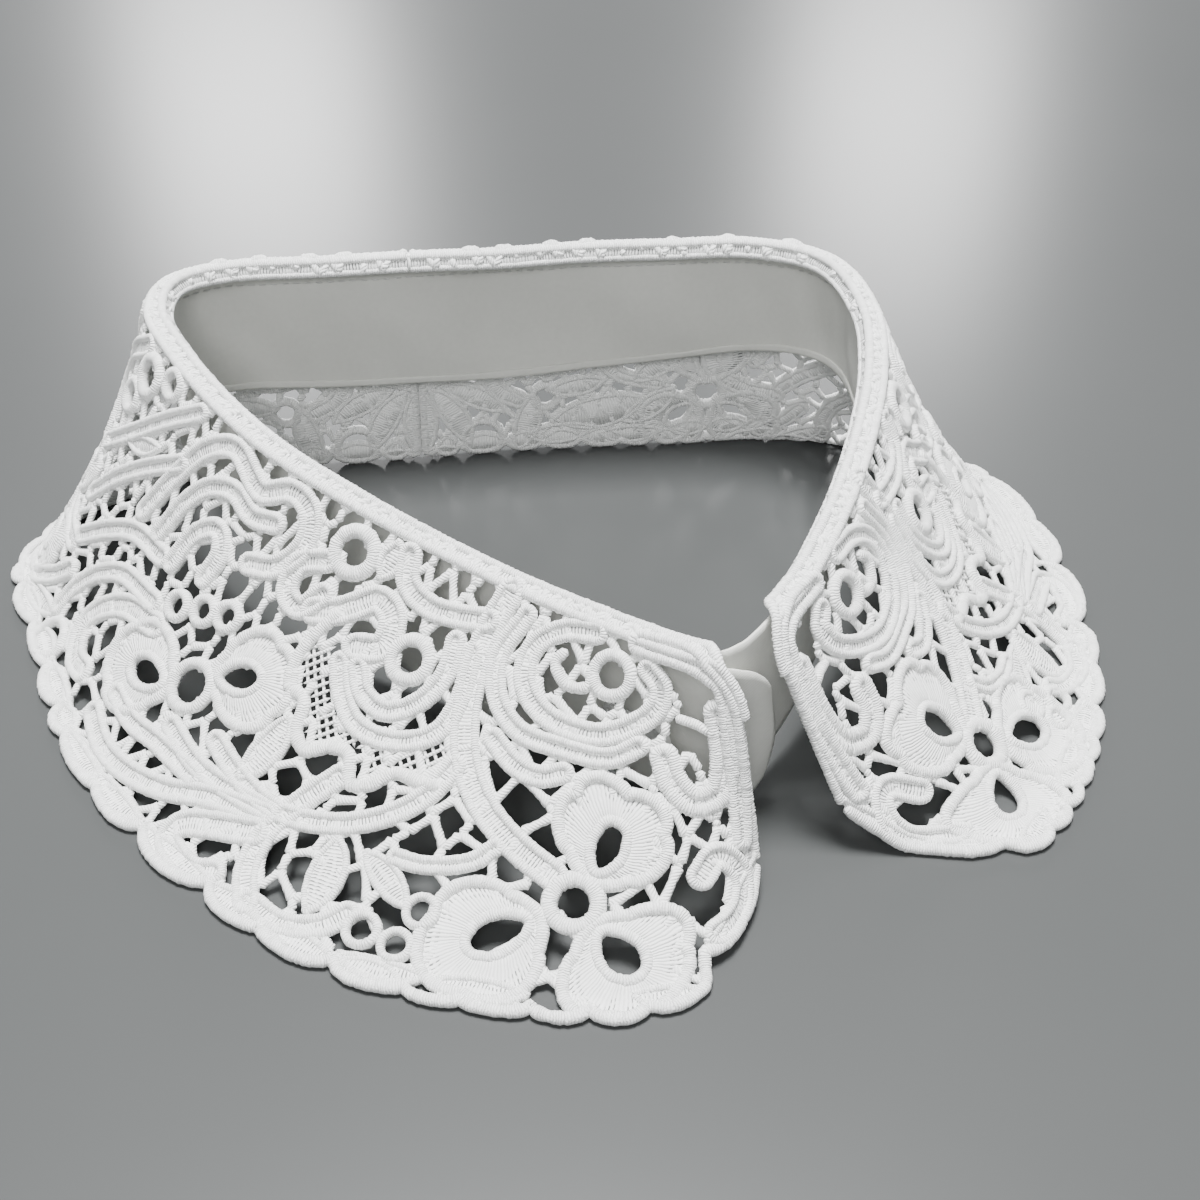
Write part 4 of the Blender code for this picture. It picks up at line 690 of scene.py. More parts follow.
def bent_grids(name, walls, finish):
    """Mesh object of closed walls: one long grid, cut between them, bent into place, its seams merged."""
    columns = walls[0][0].shape[1]
    total = sum(len(points) for points, places in walls)
    shape = bmesh.new()
    bmesh.ops.create_grid(shape, x_segments=total - 1, y_segments=columns - 1, size=1.0)
    shape.faces.ensure_lookup_table()
    starts = np.cumsum([len(points) for points, places in walls])[:-1]
    between = [shape.faces[j * (total - 1) + i - 1] for i in starts for j in range(columns - 1)]
    bmesh.ops.delete(shape, geom=between, context="FACES_ONLY")
    mesh = bpy.data.meshes.new(name)
    shape.to_mesh(mesh)
    points = np.concatenate([points for points, places in walls]).transpose(1, 0, 2).reshape(-1, 3)
    places = np.concatenate([places for points, places in walls]).transpose(1, 0, 2).reshape(-1, 2)
    mesh.vertices.foreach_set("co", (points * MM).astype(np.float32).ravel())
    lay_thread(mesh, places)
    shape.clear()
    shape.from_mesh(mesh)
    bmesh.ops.delete(shape, geom=[edge for edge in shape.edges if not edge.link_faces], context="EDGES")
    bmesh.ops.remove_doubles(shape, verts=shape.verts, dist=0.001 * MM)
    bmesh.ops.recalc_face_normals(shape, faces=shape.faces)
    for face in shape.faces:
        face.smooth = True
    shape.to_mesh(mesh)
    shape.free()
    return add_piece(name, mesh, finish)


def motif_walls(half, side):
    """Rims, fills and holes of every cord, ring, petal and leaf of one half."""
    rims = []
    fills = []
    holes = []
    seed = first_seed("motifs", side)
    for number, cord in enumerate(CORDS):
        route = smooth(cord.route, 12)
        lift = 0.25 * chance(number, 3)
        edge = cord.name.startswith("front")
        ribs, step = (EDGE_RIBS, EDGE_STEP) if edge else (EVEN_RIBS, CORD_STEP)
        if cord.strands == 1:
            rims.append(padded_cord(half, route, cord.width / 2, CORD_FOOT, LACE_TOP + lift, seed + number))
            continue
        whole = cord.width + CORD_GAP / 2
        rim = 0.95 * cord.width if edge else RIM_WIDTH
        line, left, right = around(half, even(route, max(int(len(route) * 0.7), 8)), whole - rim / 2)
        rims.append(padded_cord(half, line, rim / 2, CORD_FOOT, LACE_TOP - 0.15 + lift, seed + number, True,
                                step, ribs))
        fills.append(satin_fill(half, left, right, FILL_FOOT, CORD_FILL, seed=seed + number))
    for number, ring in enumerate(RINGS):
        line = half.place(ring.along, ring.drop, circle(ring.radius), 0)
        rims.append(padded_cord(half, line, ring.width / 2, 0.0, LACE_TOP + 0.2, seed + 100 + number, True))
        holes.append(half.place(ring.along, ring.drop, circle(ring.radius - ring.width / 2), 0))
    for number, petal in enumerate(PETALS):
        rim = laid_rim(half, petal)
        hole = half.place(petal.along, petal.drop, petal_hole(petal.length), petal.turn)
        inner = hole * 0.88 + rim * 0.12
        rims.append(padded_cord(half, rim, 1.1, 0.0, LACE_TOP, seed + 200 + number, True))
        rims.append(padded_cord(half, inner, 1.0, 0.1, LACE_TOP + 0.2, seed + 300 + number, True))
        fills.append(satin_fill(half, rim, inner, FILL_FOOT, PETAL_FILL, True, both=False, start=0.45,
                                seed=number))
        holes.append(hole)
    for number, leaf in enumerate(LEAVES):
        spine, half_width = leaf_spine(leaf.length, leaf.width)
        spine = half.place(leaf.along, leaf.drop, spine, leaf.turn)
        line, left, right = around(half, spine, np.maximum(half_width - 0.6, 0.25), 5)
        lift = 0.2 * chance(number, 5)
        rims.append(padded_cord(half, line, FINE_RIM, 0.0, LACE_TOP - 0.3 + lift, seed + 400 + number, True))
        fills.append(satin_fill(half, left, right, FILL_FOOT, LEAF_FILL, seed=seed + number))
    return rims, fills, holes + [np.array(outline) for outline in OPEN_PLACES]


def border_walls(half, side):
    """The scalloped hem cord, the crescents in its scallops, and the cords at the half's two ends."""
    seed = first_seed("borders", side)
    along = np.linspace(0.006, 0.994, 900)
    edge = np.column_stack([along, half.hem(along)])
    rims = [padded_cord(half, half.kept(edge, 0.5 * HEM_WIDTH), 0.5 * HEM_WIDTH, 0.0, LACE_TOP, seed)]
    down = np.linspace(0.05, 1, 60)
    for end in (0.0, 1.0):
        line = np.column_stack([np.full_like(down, end), down])
        rims.append(padded_cord(half, line, 0.9, 0.0, LACE_TOP - 0.2, seed + 1 + int(end), step=EDGE_STEP,
                                ribs=EDGE_RIBS))
    fills = []
    taken = [laid_rim(half, petal) for petal in PETALS]
    for number, (a, b) in enumerate(zip(NOTCHES, NOTCHES[1:])):
        if b.along - a.along < 0.02 or b.along > 1:
            continue
        along = np.linspace(a.along + 0.002, b.along - 0.002, 40)
        share = np.linspace(0, 1, 40)
        outer = np.column_stack([along, half.hem(along) - 0.5 * HEM_WIDTH / half.depth_at(along)])
        depth = 1.0 + SCALLOP_DEPTH * np.sin(math.pi * share) ** 0.8
        inner = np.column_stack([along, outer[:, 1] - depth / half.depth_at(along)])
        if any(inside(petal, inner[12:28]).any() for petal in taken):
            continue
        rims.append(padded_cord(half, inner, FINE_RIM, CORD_FOOT, LACE_TOP - 0.35, seed + 10 + number))
        fills.append(satin_fill(half, outer, inner, 0.25, SCALLOP_FILL, seed=seed + number))
    return rims, fills


def roll_walls(half, side):
    """The rolled neck edge: a strip of close satin with three cords along it, and the seam's stem."""
    seed = first_seed("roll", side)
    along = np.linspace(0.0, 1.0, 400)
    deep = half.depth_at(along)

    def line(mm):
        return np.column_stack([along, mm / deep])

    strip = satin_fill(half, line(0.1), line(NECK_STRIP), 0.0, ROLL_FILL, wave=0.05, margin=ROLL_MARGIN,
                       seed=seed)
    cords = [padded_cord(half, line(cord.down), cord.width / 2, 0.2, cord.top, seed + k, ribs=0.05,
                         margin=ROLL_MARGIN, tip=0.15) for k, cord in enumerate(ROLL_CORDS)]
    stem = np.column_stack([np.full(60, 1 - SEAM_STEM / half.length), np.linspace(0.07, 0.975, 60)])
    cords.append(padded_cord(half, stem, SEAM_STEM, 0.2, 1.7, seed + 9, ribs=0.05, margin=ROLL_MARGIN))
    return cords, [strip]


def ground_walls(half, side, rims, holes):
    """The joining bars that show between the satin, thicker where they meet, and the net ground."""
    satin = KDTree(sum(len(points) for points, places in rims))
    for index, point in enumerate(np.concatenate([points.mean(1) for points, places in rims])):
        satin.insert(point, index)
    satin.balance()
    seed = first_seed("ground", side)
    bars = []
    for number, line in enumerate(bar_lines(half, holes)):
        line = line[line[:, 1] < half.hem(line[:, 0])]
        if len(line) < 4 or inside(np.array(NET), line).all():
            continue
        points = half.at(line[:, 0], line[:, 1], np.full(len(line), 1.0))
        if all(satin.find(point)[2] < NEAR_SATIN for point in points):
            continue
        first = line[0] * (1 + BAR_REACH) - line[1] * BAR_REACH
        last = line[-1] * (1 + BAR_REACH) - line[-2] * BAR_REACH
        line = np.vstack([first, line[1:-1], last])
        share = np.linspace(-1, 1, len(line))
        width = 0.5 * (BAR_MIDDLE + (BAR_END - BAR_MIDDLE) * share ** 4)
        bars.append(padded_cord(half, line, width, 0.15, 1.4, seed + number, step=0.75, sides=BAR_SIDES,
                                ribs=0.04))
    depth = half.depth.mean()
    net = []
    low, high = np.array(NET).min(0), np.array(NET).max(0)
    starts = np.arange(low[0] * SPAN - NET_REACH, high[0] * SPAN + NET_REACH, NET_PITCH * math.sqrt(2))
    for lean in (-1, 1):
        foot, top = 0.45 + 0.15 * lean, 0.95 + 0.15 * lean
        for k, start in enumerate(starts):
            x = np.linspace(low[0] * SPAN, high[0] * SPAN, 120)
            line = np.column_stack([x / SPAN, (low[1] * depth + lean * (x - start)) / depth])
            there = inside(np.array(NET), line)
            cuts = np.flatnonzero(np.diff(np.r_[False, there, False].astype(int)))
            for a, b in zip(cuts[::2], cuts[1::2]):
                if b - a > SHORTEST_NET:
                    net.append(padded_cord(half, line[a:b], NET_WIDTH / 2, foot, top, seed + 5000 + k,
                                           step=1.0, sides=BAR_SIDES, ribs=0.0))
    return bars, net


class Value:
    """A number in a material's nodes, so that its maths reads as a plain expression."""

    def __init__(self, tree, socket):
        self.tree = tree
        self.socket = socket

    def maths(self, operation, *others, clamp=False):
        node = self.tree.nodes.new("ShaderNodeMath")
        node.operation = operation
        node.use_clamp = clamp
        for socket, value in zip(node.inputs, (self,) + others):
            if isinstance(value, Value):
                self.tree.links.new(value.socket, socket)
            else:
                socket.default_value = value
        return Value(self.tree, node.outputs[0])

    def __add__(self, other):
        return self.maths("ADD", other)

    def __sub__(self, other):
        return self.maths("SUBTRACT", other)

    def __mul__(self, other):
        return self.maths("MULTIPLY", other)

    def __truediv__(self, other):
        return self.maths("DIVIDE", other)

    def __rsub__(self, other):
        return (self * -1.0).maths("ADD", other)

    __radd__ = __add__
    __rmul__ = __mul__

    def fraction(self):
        return self.maths("FRACT")

    def whole(self):
        return self.maths("FLOOR")

    def size(self):
        return self.maths("ABSOLUTE")

    def sine(self):
        return self.maths("SINE")

    def held(self):
        """Kept from 0 to 1."""
        return self.maths("ADD", 0.0, clamp=True)


class Finish:
    """A Principled material and its nodes."""

    def __init__(self, name, roughness=0.8, **settings):
        self.material = bpy.data.materials.new(name)
        self.material.use_nodes = True
        self.tree = self.material.node_tree
        self.shader = self.tree.nodes["Principled BSDF"]
        self.shader.inputs["Roughness"].default_value = roughness
        for socket, value in settings.items():
            self.shader.inputs[socket.replace("_", " ")].default_value = value

    def node(self, kind, settings=(), **values):
        """A node of a type, with its settings set first and then its sockets, by name or by _number."""
        node = self.tree.nodes.new(kind)
        for key, value in dict(settings).items():
            setattr(node, key, value)
        for key, value in values.items():
            socket = node.inputs[int(key[1:])] if key[0] == "_" else node.inputs[key]
            if isinstance(value, Value):
                value = value.socket
            if isinstance(value, bpy.types.NodeSocket):
                self.tree.links.new(value, socket)
            else:
                socket.default_value = value
        return node

    def value(self, socket):
        return Value(self.tree, socket)

    def thread_places(self):
        """The piece's UV map in mm: along the thread and across it."""
        places = self.node("ShaderNodeUVMap", {"uv_map": "thread"})
        both = self.node("ShaderNodeSeparateXYZ", _0=places.outputs[0])
        return self.value(both.outputs[0]), self.value(both.outputs[1])

    def cloudy(self, scale, detail=2.0):
        """Noise in the piece's own space, from 0 to 1."""
        place = self.node("ShaderNodeTexCoord").outputs["Object"]
        noise = self.node("ShaderNodeTexNoise", Vector=place, Scale=scale, Detail=detail)
        return self.value(noise.outputs[0])

    def mixed(self, share, first, second):
        """One colour turning into another as share goes from 0 to 1."""
        node = self.node("ShaderNodeMix", {"data_type": "RGBA"}, _0=share, _6=first, _7=second)
        return node.outputs[2]

    def colour(self, socket):
        self.tree.links.new(socket, self.shader.inputs["Base Color"])

    def relief(self, height, depth):
        """Bump of a height from 0 to 1, depth metres tall."""
        bump = self.node("ShaderNodeBump", Strength=1.0, Distance=depth, Height=height)
        self.tree.links.new(bump.outputs[0], self.shader.inputs["Normal"])

    def threads(self, ridge, fuzz, level, slope, share):
        """Cotton's colour with painted shade, greyed by up to share in the valleys between its threads, and a
        random fuzz of tone.
        """
        # Painted shade: the cotton turns grey in the valleys between the threads
        valley_shade = ((level - ridge) * slope).held()
        return self.mixed((valley_shade * share + (fuzz - 0.5) * 0.25).held(), COTTON, SHADED_COTTON)


def satin_finish():
    """Padded cord of close stitches over the cord, each a thread wide, uneven in place and height."""
    finish = Finish("satin_cord", 0.7, Sheen_Weight=0.15)
    along, across = finish.thread_places()
    wobble = finish.cloudy(700.0)
    stitch = (along / SATIN_PITCH + wobble * 1.8 + across * 0.12).fraction()
    ridge = (stitch * math.pi).sine()
    fuzz = finish.cloudy(FUZZ_SCALE, 3.0)
    finish.relief(ridge * (0.4 + 0.9 * wobble) + fuzz * 0.6, THREAD_RELIEF)
    finish.colour(finish.threads(ridge, fuzz, 0.42, 1.6, 0.5))
    return finish.material


def fill_finish():
    """Flat satin with rows of small needle holes near its borders, dented in the bump and painted dark as the
    shade in them.
    """
    finish = Finish("satin_fill", 0.75, Sheen_Weight=0.15)
    along, across = finish.thread_places()
    wobble = finish.cloudy(500.0)
    phase = along / FILL_PITCH + wobble * 0.9
    ridge = (phase.fraction() * math.pi).sine()
    cell = phase.whole()
    draw = finish.node("ShaderNodeTexWhiteNoise", {"noise_dimensions": "1D"}, W=cell)
    drawn = finish.value(draw.outputs[0])
    place = across + (drawn - 0.5) * 0.35 + (wobble - 0.5) * 0.8
    near_row = ((0.50 - (place - 1.2).size()) * 7.0).held()
    far_row = ((0.40 - (place - 2.6).size()) * 7.0).held()
    there = ((drawn + wobble * 0.9 - 0.66) * 9.0).held()
    seldom = ((drawn + wobble * 0.9 - 0.92) * 9.0).held()
    slit = ((0.50 - ridge) * 5.0).held()
    hole = (slit * (near_row * there + far_row * seldom)).held()
    fuzz = finish.cloudy(FUZZ_SCALE, 3.0)
    finish.relief(ridge * (0.5 + 0.6 * wobble) * (1 - hole) + fuzz * 0.3 - hole * 0.8, THREAD_RELIEF)
    base = finish.threads(ridge, fuzz, 0.42, 1.2, 0.55)
    # Painted shade in the needle holes: the fill turns near black where they are
    finish.colour(finish.mixed(hole * 0.92, base, NEEDLE_HOLE_SHADE))
    return finish.material


def bar_finish():
    """Joining bars of twisted thread."""
    finish = Finish("twisted_bar", 0.7, Sheen_Weight=0.15)
    along, across = finish.thread_places()
    turn = (along / TWIST_PITCH + across / TWIST_LEAN + finish.cloudy(700.0) * 0.6).fraction()
    ridge = (turn * math.pi).sine()
    fuzz = finish.cloudy(FUZZ_SCALE, 3.0)
    finish.relief(ridge * 0.7 + fuzz * 0.3, THREAD_RELIEF)
    finish.colour(finish.threads(ridge, fuzz, 0.4, 1.4, 0.55))
    return finish.material


def lawn_finish():
    """Thin close cotton: a fine weave, soft slubs and a slightly greyed white."""
    finish = Finish("cotton_lawn", 0.85, Sheen_Weight=0.1)
    along, across = finish.thread_places()
    warp = (along * (math.tau / WEAVE_PITCH)).sine()
    weft = (across * (math.tau / WEAVE_PITCH)).sine()
    slub = finish.cloudy(900.0, 3.0)
    soft = finish.cloudy(60.0)
    finish.relief(warp * weft * 0.35 + slub * 0.5, 0.00006)
    shade = ((slub - 0.5) * 0.5 + (soft - 0.5) * 0.8 + 0.3).held()
    finish.colour(finish.mixed(shade, LAWN, SHADED_LAWN))
    return finish.material


def button_finish():
    """Moulded white button with a faint pearl clouding."""
    finish = Finish("white_button", 0.22, Coat_Weight=0.3)
    cloud = finish.cloudy(450.0, 3.0)
    finish.relief(cloud, 0.00002)
    finish.colour(finish.mixed(cloud * 0.5, BUTTON_WHITE, SHADED_WHITE))
    return finish.material


def floor_finish():
    finish = Finish("floor", 0.3, Specular_IOR_Level=0.33)
    cloud = finish.cloudy(9.0, 4.0)
    finish.colour(finish.mixed(cloud, FLOOR_DARK, FLOOR_LIGHT))
    return finish.material


def neckline():
    """The neck's seam line in plan with its height, from the left front to the right front."""
    return smooth(SECTIONS, 12)[:, :3] - np.array([MIDDLE_X, MIDDLE_Y, 0])


def band_route():
    """Middle line of the band as rows of x, y and seam height, from its left tip to its right end."""
    neck = neckline()
    end = np.array(LEFT_END) - (MIDDLE_X, MIDDLE_Y)
    start = np.argmax(neck[:, 1] > end[-1, 1] + 2.5)
    left = np.column_stack([end, np.full(len(end), LEFT_END_HEIGHT)])
    left[-1, 2] = neck[start, 2]
    outer = smooth(np.vstack([left, neck[start:start + 40:8]]), 10)
    outer = even(outer, 60)
    forward = unit(np.gradient(outer[:, :2], axis=0))
    behind = outer.copy()
    behind[:, :2] += np.stack([forward[:, 1], -forward[:, 0]], 1) * OVERLAP_OFFSET
    run = run_along(behind[:, :2])
    behind = behind[(run > OVERLAP_START) & (run < OVERLAP_START + OVERLAP_LENGTH)][::3]
    return even(smooth(np.vstack([left, neck[start::8], behind]), 6), 120)


def band_columns(step=1.0):
    """Places along the band: rows of x, y, top, bottom and distance from its left tip."""
    route = band_route()
    run = run_along(route)
    length = run[-1]
    marks = np.linspace(0, length, int(length / step) + 1)
    x, y, seam = (np.interp(marks, run, column) for column in route.T)
    left_tuck = np.clip((OVERLAP_START + OVERLAP_LENGTH + 2.0 - marks) / 7.0, 0, 1)
    right_tuck = np.clip((OVERLAP_LENGTH - 2.0 - (length - marks)) / 3.0, 0, 1)
    tuck = np.maximum(left_tuck, right_tuck)
    tuck = tuck * tuck * (3 - 2 * tuck)
    corner = END_CORNER - np.sqrt(END_CORNER ** 2 - (END_CORNER - np.minimum(marks, END_CORNER)) ** 2)
    top = seam + OPEN_TOP + (TUCKED_TOP - OPEN_TOP) * tuck - corner
    height = np.interp(marks / length, *smooth(BAND_HEIGHTS, 8).T)
    bottom = np.maximum(BAND_CLEAR, seam - height) + 0.6 * corner
    return x, y, top, bottom, marks


def band_surface(marks_at, rise, inward=0.0):
    """Points on the band's creased middle, by distance from its tip and share of its height."""
    x, y, top, bottom, marks = band_columns()
    forward = unit(np.gradient(np.stack([x, y], 1), axis=0))
    length = marks[-1]
    fx, fy = (np.interp(marks_at, marks, column) for column in forward.T)
    px, py, pt, pb = (np.interp(marks_at, marks, column) for column in (x, y, top, bottom))
    from_ends = np.minimum(marks_at, length - marks_at)
    belly = np.sin(math.pi * np.clip(rise, 0, 1)) ** 0.8
    free = 0.3 + 0.7 * np.clip((from_ends - 28.0) / 12.0, 0, 1) + 0.9 * np.clip((8.0 - marks_at) / 5.0, 0, 1)
    crease = (0.8 * np.sin(marks_at / 9.0 + 1.3 * rise) + 0.3 * np.sin(marks_at / 4.1 + 2.1 + 2.0 * rise)
              + 0.4 * np.sin(marks_at / 17.0 + 0.4) + 0.22 * np.sin(marks_at / 1.9 + 3.5 * rise))
    out = belly * free * crease - inward
    z = pb + rise * (pt - pb)
    return np.stack([px - fy * out, py + fx * out, z], -1)


def sheet_mesh(name, points, places, finish):
    """Mesh object of one open grid of points."""
    columns, rows = points.shape[:2]
    shape = bmesh.new()
    bmesh.ops.create_grid(shape, x_segments=columns - 1, y_segments=rows - 1, size=1.0)
    mesh = mesh_from(shape, name)
    mesh.vertices.foreach_set("co", (points.transpose(1, 0, 2) * MM).astype(np.float32).ravel())
    lay_thread(mesh, places.transpose(1, 0, 2).reshape(-1, 2))
    mesh.shade_smooth()
    return add_piece(name, mesh, finish)


def settled(piece):
    """The piece with its modifiers worked into its mesh."""
    graph = bpy.context.evaluated_depsgraph_get()
    graph.update()
    mesh = bpy.data.meshes.new_from_object(piece.evaluated_get(graph))
    piece.modifiers.clear()
    piece.data = mesh
    return piece


def button_seat():
    """The button's place on the band, with the band's direction and its outward direction."""
    x, y, top, bottom, marks = band_columns(1.6)
    here = np.array([np.interp(BUTTON_FROM_TIP, marks, column) for column in (x, y)])
    ahead = np.array([np.interp(BUTTON_FROM_TIP + 2.0, marks, column) for column in (x, y)])
    tangent = Vector((*(ahead - here), 0)).normalized()
    return Vector((*here, LEFT_END_HEIGHT - BUTTON_DROP)) * MM, tangent, Vector((-tangent.y, tangent.x, 0))


def seat_matrix(place, tangent, outward):
    """Frame with x along the band, y outwards and z up."""
    turned = Matrix((tangent, outward, Vector((0, 0, 1)))).transposed()
    return Matrix.Translation(place) @ turned.to_4x4()


def band_stitches(top, bottom, marks, thread):
    """The row of running stitches below the band's top edge."""
    walls = []
    for start in np.arange(STITCH_START, marks[-1] - STITCH_START, STITCH_PITCH):
        at = np.linspace(start, start + STITCH_LENGTH, 5)
        tall = np.interp(at, marks, top - bottom)
        arch = STITCH_ARCH * np.sin(np.linspace(0, math.pi, 5))
        line = band_surface(at, (tall - STITCH_DROP) / tall, STITCH_DEPTH + arch)
        side = unit(np.cross(unit(np.gradient(line, axis=0)), (0, 0, 1)))
        angle = np.linspace(0, 2 * math.pi, 6)
        thick = STITCH_RADIUS * np.sqrt(np.clip(np.sin(np.linspace(0, math.pi, 5)), 0, 1))[:, None, None]
        ring = side[:, None] * np.cos(angle)[:, None] + np.array((0, 0, 1.0)) * np.sin(angle)[:, None]
        places = np.stack(np.broadcast_arrays(at[:, None], angle), -1)
        walls.append((line[:, None] + ring * thick, places))
    return bent_grids("band_stitches", walls, thread)


def band_pieces(lawn, thread):
    """The stand band with its buttonhole, its turned hem, and its row of stitches."""
    x, y, top, bottom, marks = band_columns()
    grid_marks, grid_rises = np.meshgrid(marks, np.linspace(0, 1, 19), indexing="ij")
    points = band_surface(grid_marks, grid_rises)
    places = np.stack([grid_marks, points[..., 2]], -1)
    band = sheet_mesh("stand_band", points, places, lawn)
    thicken = band.modifiers.new("cloth", "SOLIDIFY")
    thicken.thickness = 0.5 * MM
    thicken.offset = 0
    place, tangent, outward = button_seat()
    slit = bmesh.new()
    bmesh.ops.create_cube(slit, size=1.0)
    bmesh.ops.scale(slit, vec=Vector((BUTTONHOLE_LENGTH, SLIT_DEPTH, SLIT_HEIGHT)) * MM, verts=slit.verts)
    middle = seat_matrix(place + tangent * (0.5 * BUTTONHOLE_LENGTH - SLIT_LEAD) * MM, tangent, outward)
    bmesh.ops.transform(slit, matrix=middle, verts=slit.verts)
    cutter = bpy.data.objects.new("slit", mesh_from(slit, "slit"))
    bpy.context.scene.collection.objects.link(cutter)
    cut = band.modifiers.new("buttonhole", "BOOLEAN")
    cut.object = cutter
    cut.operation = "DIFFERENCE"
    settled(band)
    bpy.data.objects.remove(cutter)
    hem_rises = np.linspace(0.0, 1.0, 4)
    inner = []
    for rise in hem_rises:
        share = rise * BAND_HEM_HEIGHT / (top - bottom)
        inner.append(band_surface(marks, share, 0.55 - 0.12 * rise))
    hem_points = np.stack(inner, 1)
    hem_places = np.stack(np.broadcast_arrays(marks[:, None], hem_rises * BAND_HEM_HEIGHT), -1)
    hem = sheet_mesh("band_hem", hem_points, hem_places, lawn)
    fold = hem.modifiers.new("fold", "SOLIDIFY")
    fold.thickness = 0.3 * MM
    fold.offset = 0
    settled(hem)
    return band, hem, band_stitches(top, bottom, marks, thread)


def button_piece(finish):
    """Turned shank button: a dished face with a round rim, and a shank through the buttonhole."""
    back = 0.5 * BAND_WALL + SEAM_GAP + 0.1
    front = back + BUTTON_THICKNESS
    shank_end = 0.5 * BAND_WALL - OVERLAP_OFFSET + SEAM_GAP
    profile = [(0.0, front - 0.55), (1.4, front - 0.53), (BUTTON_RADIUS - 1.9, front - 0.45),
               (BUTTON_RADIUS - 1.3, front - 0.15), (BUTTON_RADIUS - 1.0, front - 0.02)]
    for turn in np.linspace(90, -90, 11):
        angle = math.radians(turn)
        profile.append((BUTTON_RADIUS - BUTTON_RIM + BUTTON_RIM * math.cos(angle),
                        front - BUTTON_RIM + BUTTON_RIM * math.sin(angle)))
    profile += [(BUTTON_RADIUS - 2.0, back), (SHANK_RADIUS + 0.3, back), (SHANK_RADIUS, back - 0.3),
                (SHANK_RADIUS, shank_end + 0.1), (SHANK_RADIUS - 0.1, shank_end), (0.0, shank_end)]
    shape = bmesh.new()
    line = [shape.verts.new(Vector((radius, 0, height)) * MM) for radius, height in profile]
    for a, b in zip(line, line[1:]):
        shape.edges.new((a, b))
    bmesh.ops.spin(shape, geom=shape.verts[:] + shape.edges[:], cent=(0, 0, 0), axis=(0, 0, 1),
                   angle=math.tau, steps=56, use_merge=True)
    bmesh.ops.remove_doubles(shape, verts=shape.verts, dist=0.002 * MM)
    bmesh.ops.recalc_face_normals(shape, faces=shape.faces)
    place, tangent, outward = button_seat()
    turned = seat_matrix(place, tangent, outward) @ Matrix.Rotation(math.radians(-90), 4, "X")
    bmesh.ops.transform(shape, matrix=turned, verts=shape.verts)
    for face in shape.faces:
        face.smooth = True
    return add_piece("white_shank_button", mesh_from(shape, "white_shank_button"), finish)


def buttonhole_stitches(thread):
    """A close-stitched oval round the buttonhole."""
    place, tangent, outward = button_seat()
    centre = np.array(place / MM) + np.array(tangent) * (0.5 * BUTTONHOLE_LENGTH - SLIT_LEAD)
    along, out, up = np.array(tangent), np.array(outward), np.array((0, 0, 1.0))
    turn = np.linspace(0, math.tau, 65)
    x = (0.5 * BUTTONHOLE_LENGTH + 0.4) * np.sign(np.cos(turn)) * np.abs(np.cos(turn)) ** 0.7
    z = 1.15 * np.sign(np.sin(turn)) * np.abs(np.sin(turn)) ** 0.7
    walls = []
    for face in (0.30, -0.30):
        line = centre + np.outer(x, along) + np.outer(z, up) + out * face
        forward = unit(np.roll(line[:-1], -1, axis=0) - np.roll(line[:-1], 1, axis=0))
        forward = np.vstack([forward, forward[:1]])
        side = unit(np.cross(forward, out))
        angle = np.linspace(0, math.tau, 7)
        ring = (side[:, None] * np.cos(angle)[:, None] * 0.5 + out * np.sin(angle)[:, None] * 0.22)
        places = np.stack(np.broadcast_arrays(turn[:, None] * 3.0, angle), -1)
        walls.append((line[:, None] + ring, places))
    return bent_grids("buttonhole_stitches", walls, thread)


def soft_light(lamp):
    """A large square lamp that points at the collar's middle."""
    light = bpy.data.lights.new(lamp.name, "AREA")
    light.shape = "SQUARE"
    light.size = lamp.size
    light.energy = lamp.power
    stand = bpy.data.objects.new(lamp.name, light)
    stand.location = lamp.place
    stand.rotation_euler = (-Vector(lamp.place)).to_track_quat("-Z", "Y").to_euler()
    bpy.context.scene.collection.objects.link(stand)


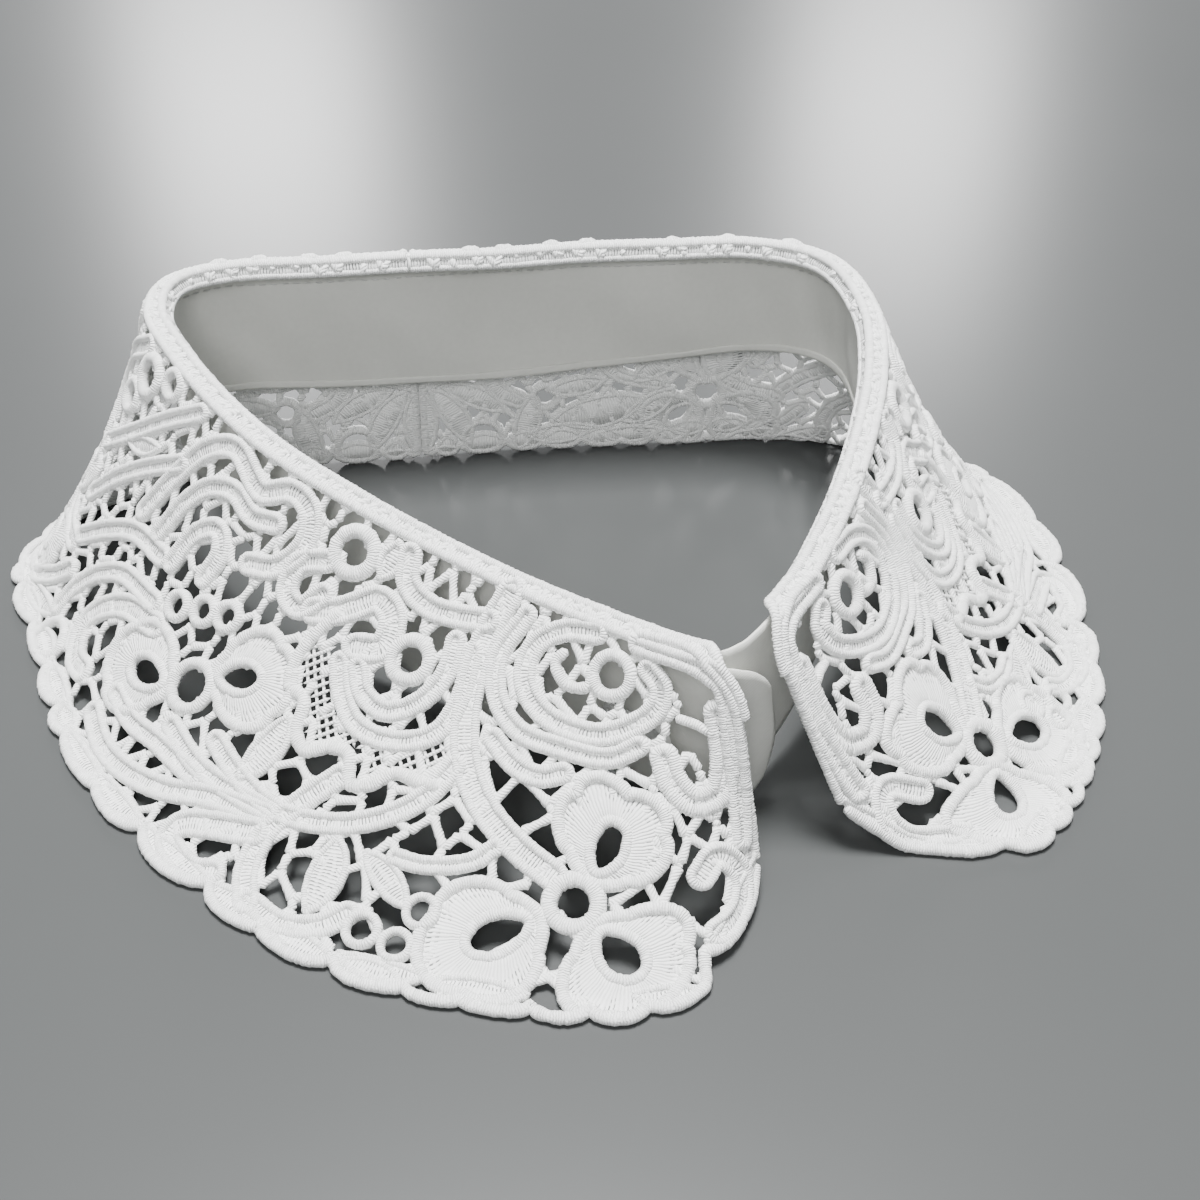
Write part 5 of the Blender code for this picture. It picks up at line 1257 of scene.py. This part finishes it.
def studio():
    """The pale floor, the lamps, the sky and the camera at the photograph's angle."""
    shape = bmesh.new()
    bmesh.ops.create_grid(shape, x_segments=1, y_segments=1, size=3.0)
    floor = add_piece("floor", mesh_from(shape, "floor"), floor_finish())
    for lamp in LAMPS:
        soft_light(lamp)
    world = bpy.data.worlds.new("studio")
    bpy.context.scene.world = world
    world.use_nodes = True
    world.node_tree.nodes["Background"].inputs["Color"].default_value = SKY
    world.node_tree.nodes["Background"].inputs["Strength"].default_value = SKY_STRENGTH
    view = bpy.data.cameras.new("camera")
    view.lens = CAMERA_LENS
    view.sensor_width = SENSOR_WIDTH
    view.clip_start = 0.01
    camera = bpy.data.objects.new("camera", view)
    camera.location = CAMERA_PLACE
    aim = Vector(CAMERA_AIM) - camera.location
    camera.rotation_euler = aim.to_track_quat("-Z", "Y").to_euler()
    bpy.context.scene.collection.objects.link(camera)
    bpy.context.scene.camera = camera


def lace_pieces(side, finishes):
    """The pieces of one half of the lace."""
    satin, fill, twisted = finishes
    half = Half(side)
    rims, fills, holes = motif_walls(half, side)
    edge_rims, edge_fills = border_walls(half, side)
    roll_rims, roll_fills = roll_walls(half, side)
    bars, net = ground_walls(half, side, rims + edge_rims, holes)
    cords = bent_grids(f"lace_{side}_cords", rims, satin)
    fillings = bent_grids(f"lace_{side}_fillings", fills + edge_fills, fill)
    borders = bent_grids(f"lace_{side}_borders", edge_rims + roll_rims, satin)
    roll = bent_grids(f"lace_{side}_roll", roll_fills, fill)
    ground = bent_grids(f"lace_{side}_bars", bars + net, twisted)
    for piece in (cords, fillings, borders, roll, ground):
        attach(piece, "root")
    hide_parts(f"lace_{side}")
    hem_length = run_along(half.at(np.linspace(0, 1, 200), np.ones(200)))[-1]
    depth = half.depth.max()
    area = 0.5 * (half.length + hem_length) * half.depth.mean() * MM * MM
    hem_length * MM
    depth * MM


finishes = (satin_finish(), fill_finish(), bar_finish())
for side in ("left", "right"):
    lace_pieces(side, finishes)
lawn = lawn_finish()
band, hem, rows = band_pieces(lawn, finishes[2])
oval = buttonhole_stitches(finishes[2])
button = button_piece(button_finish())
for piece, slot in ((band, "cotton_lawn"), (hem, "cotton_lawn"), (rows, "cotton_lawn"), (oval, "cotton_lawn"),
                    (button, "white_button")):
    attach(piece, "root")
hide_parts("neck_band")
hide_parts("button")
columns = band_columns()
band_marks, band_tall = columns[4], columns[2] - columns[3]
band_marks[-1] * MM
(band_tall.max() + BAND_HEM_HEIGHT) * MM
band_marks[-1] * band_tall.mean() * MM * MM
studio()
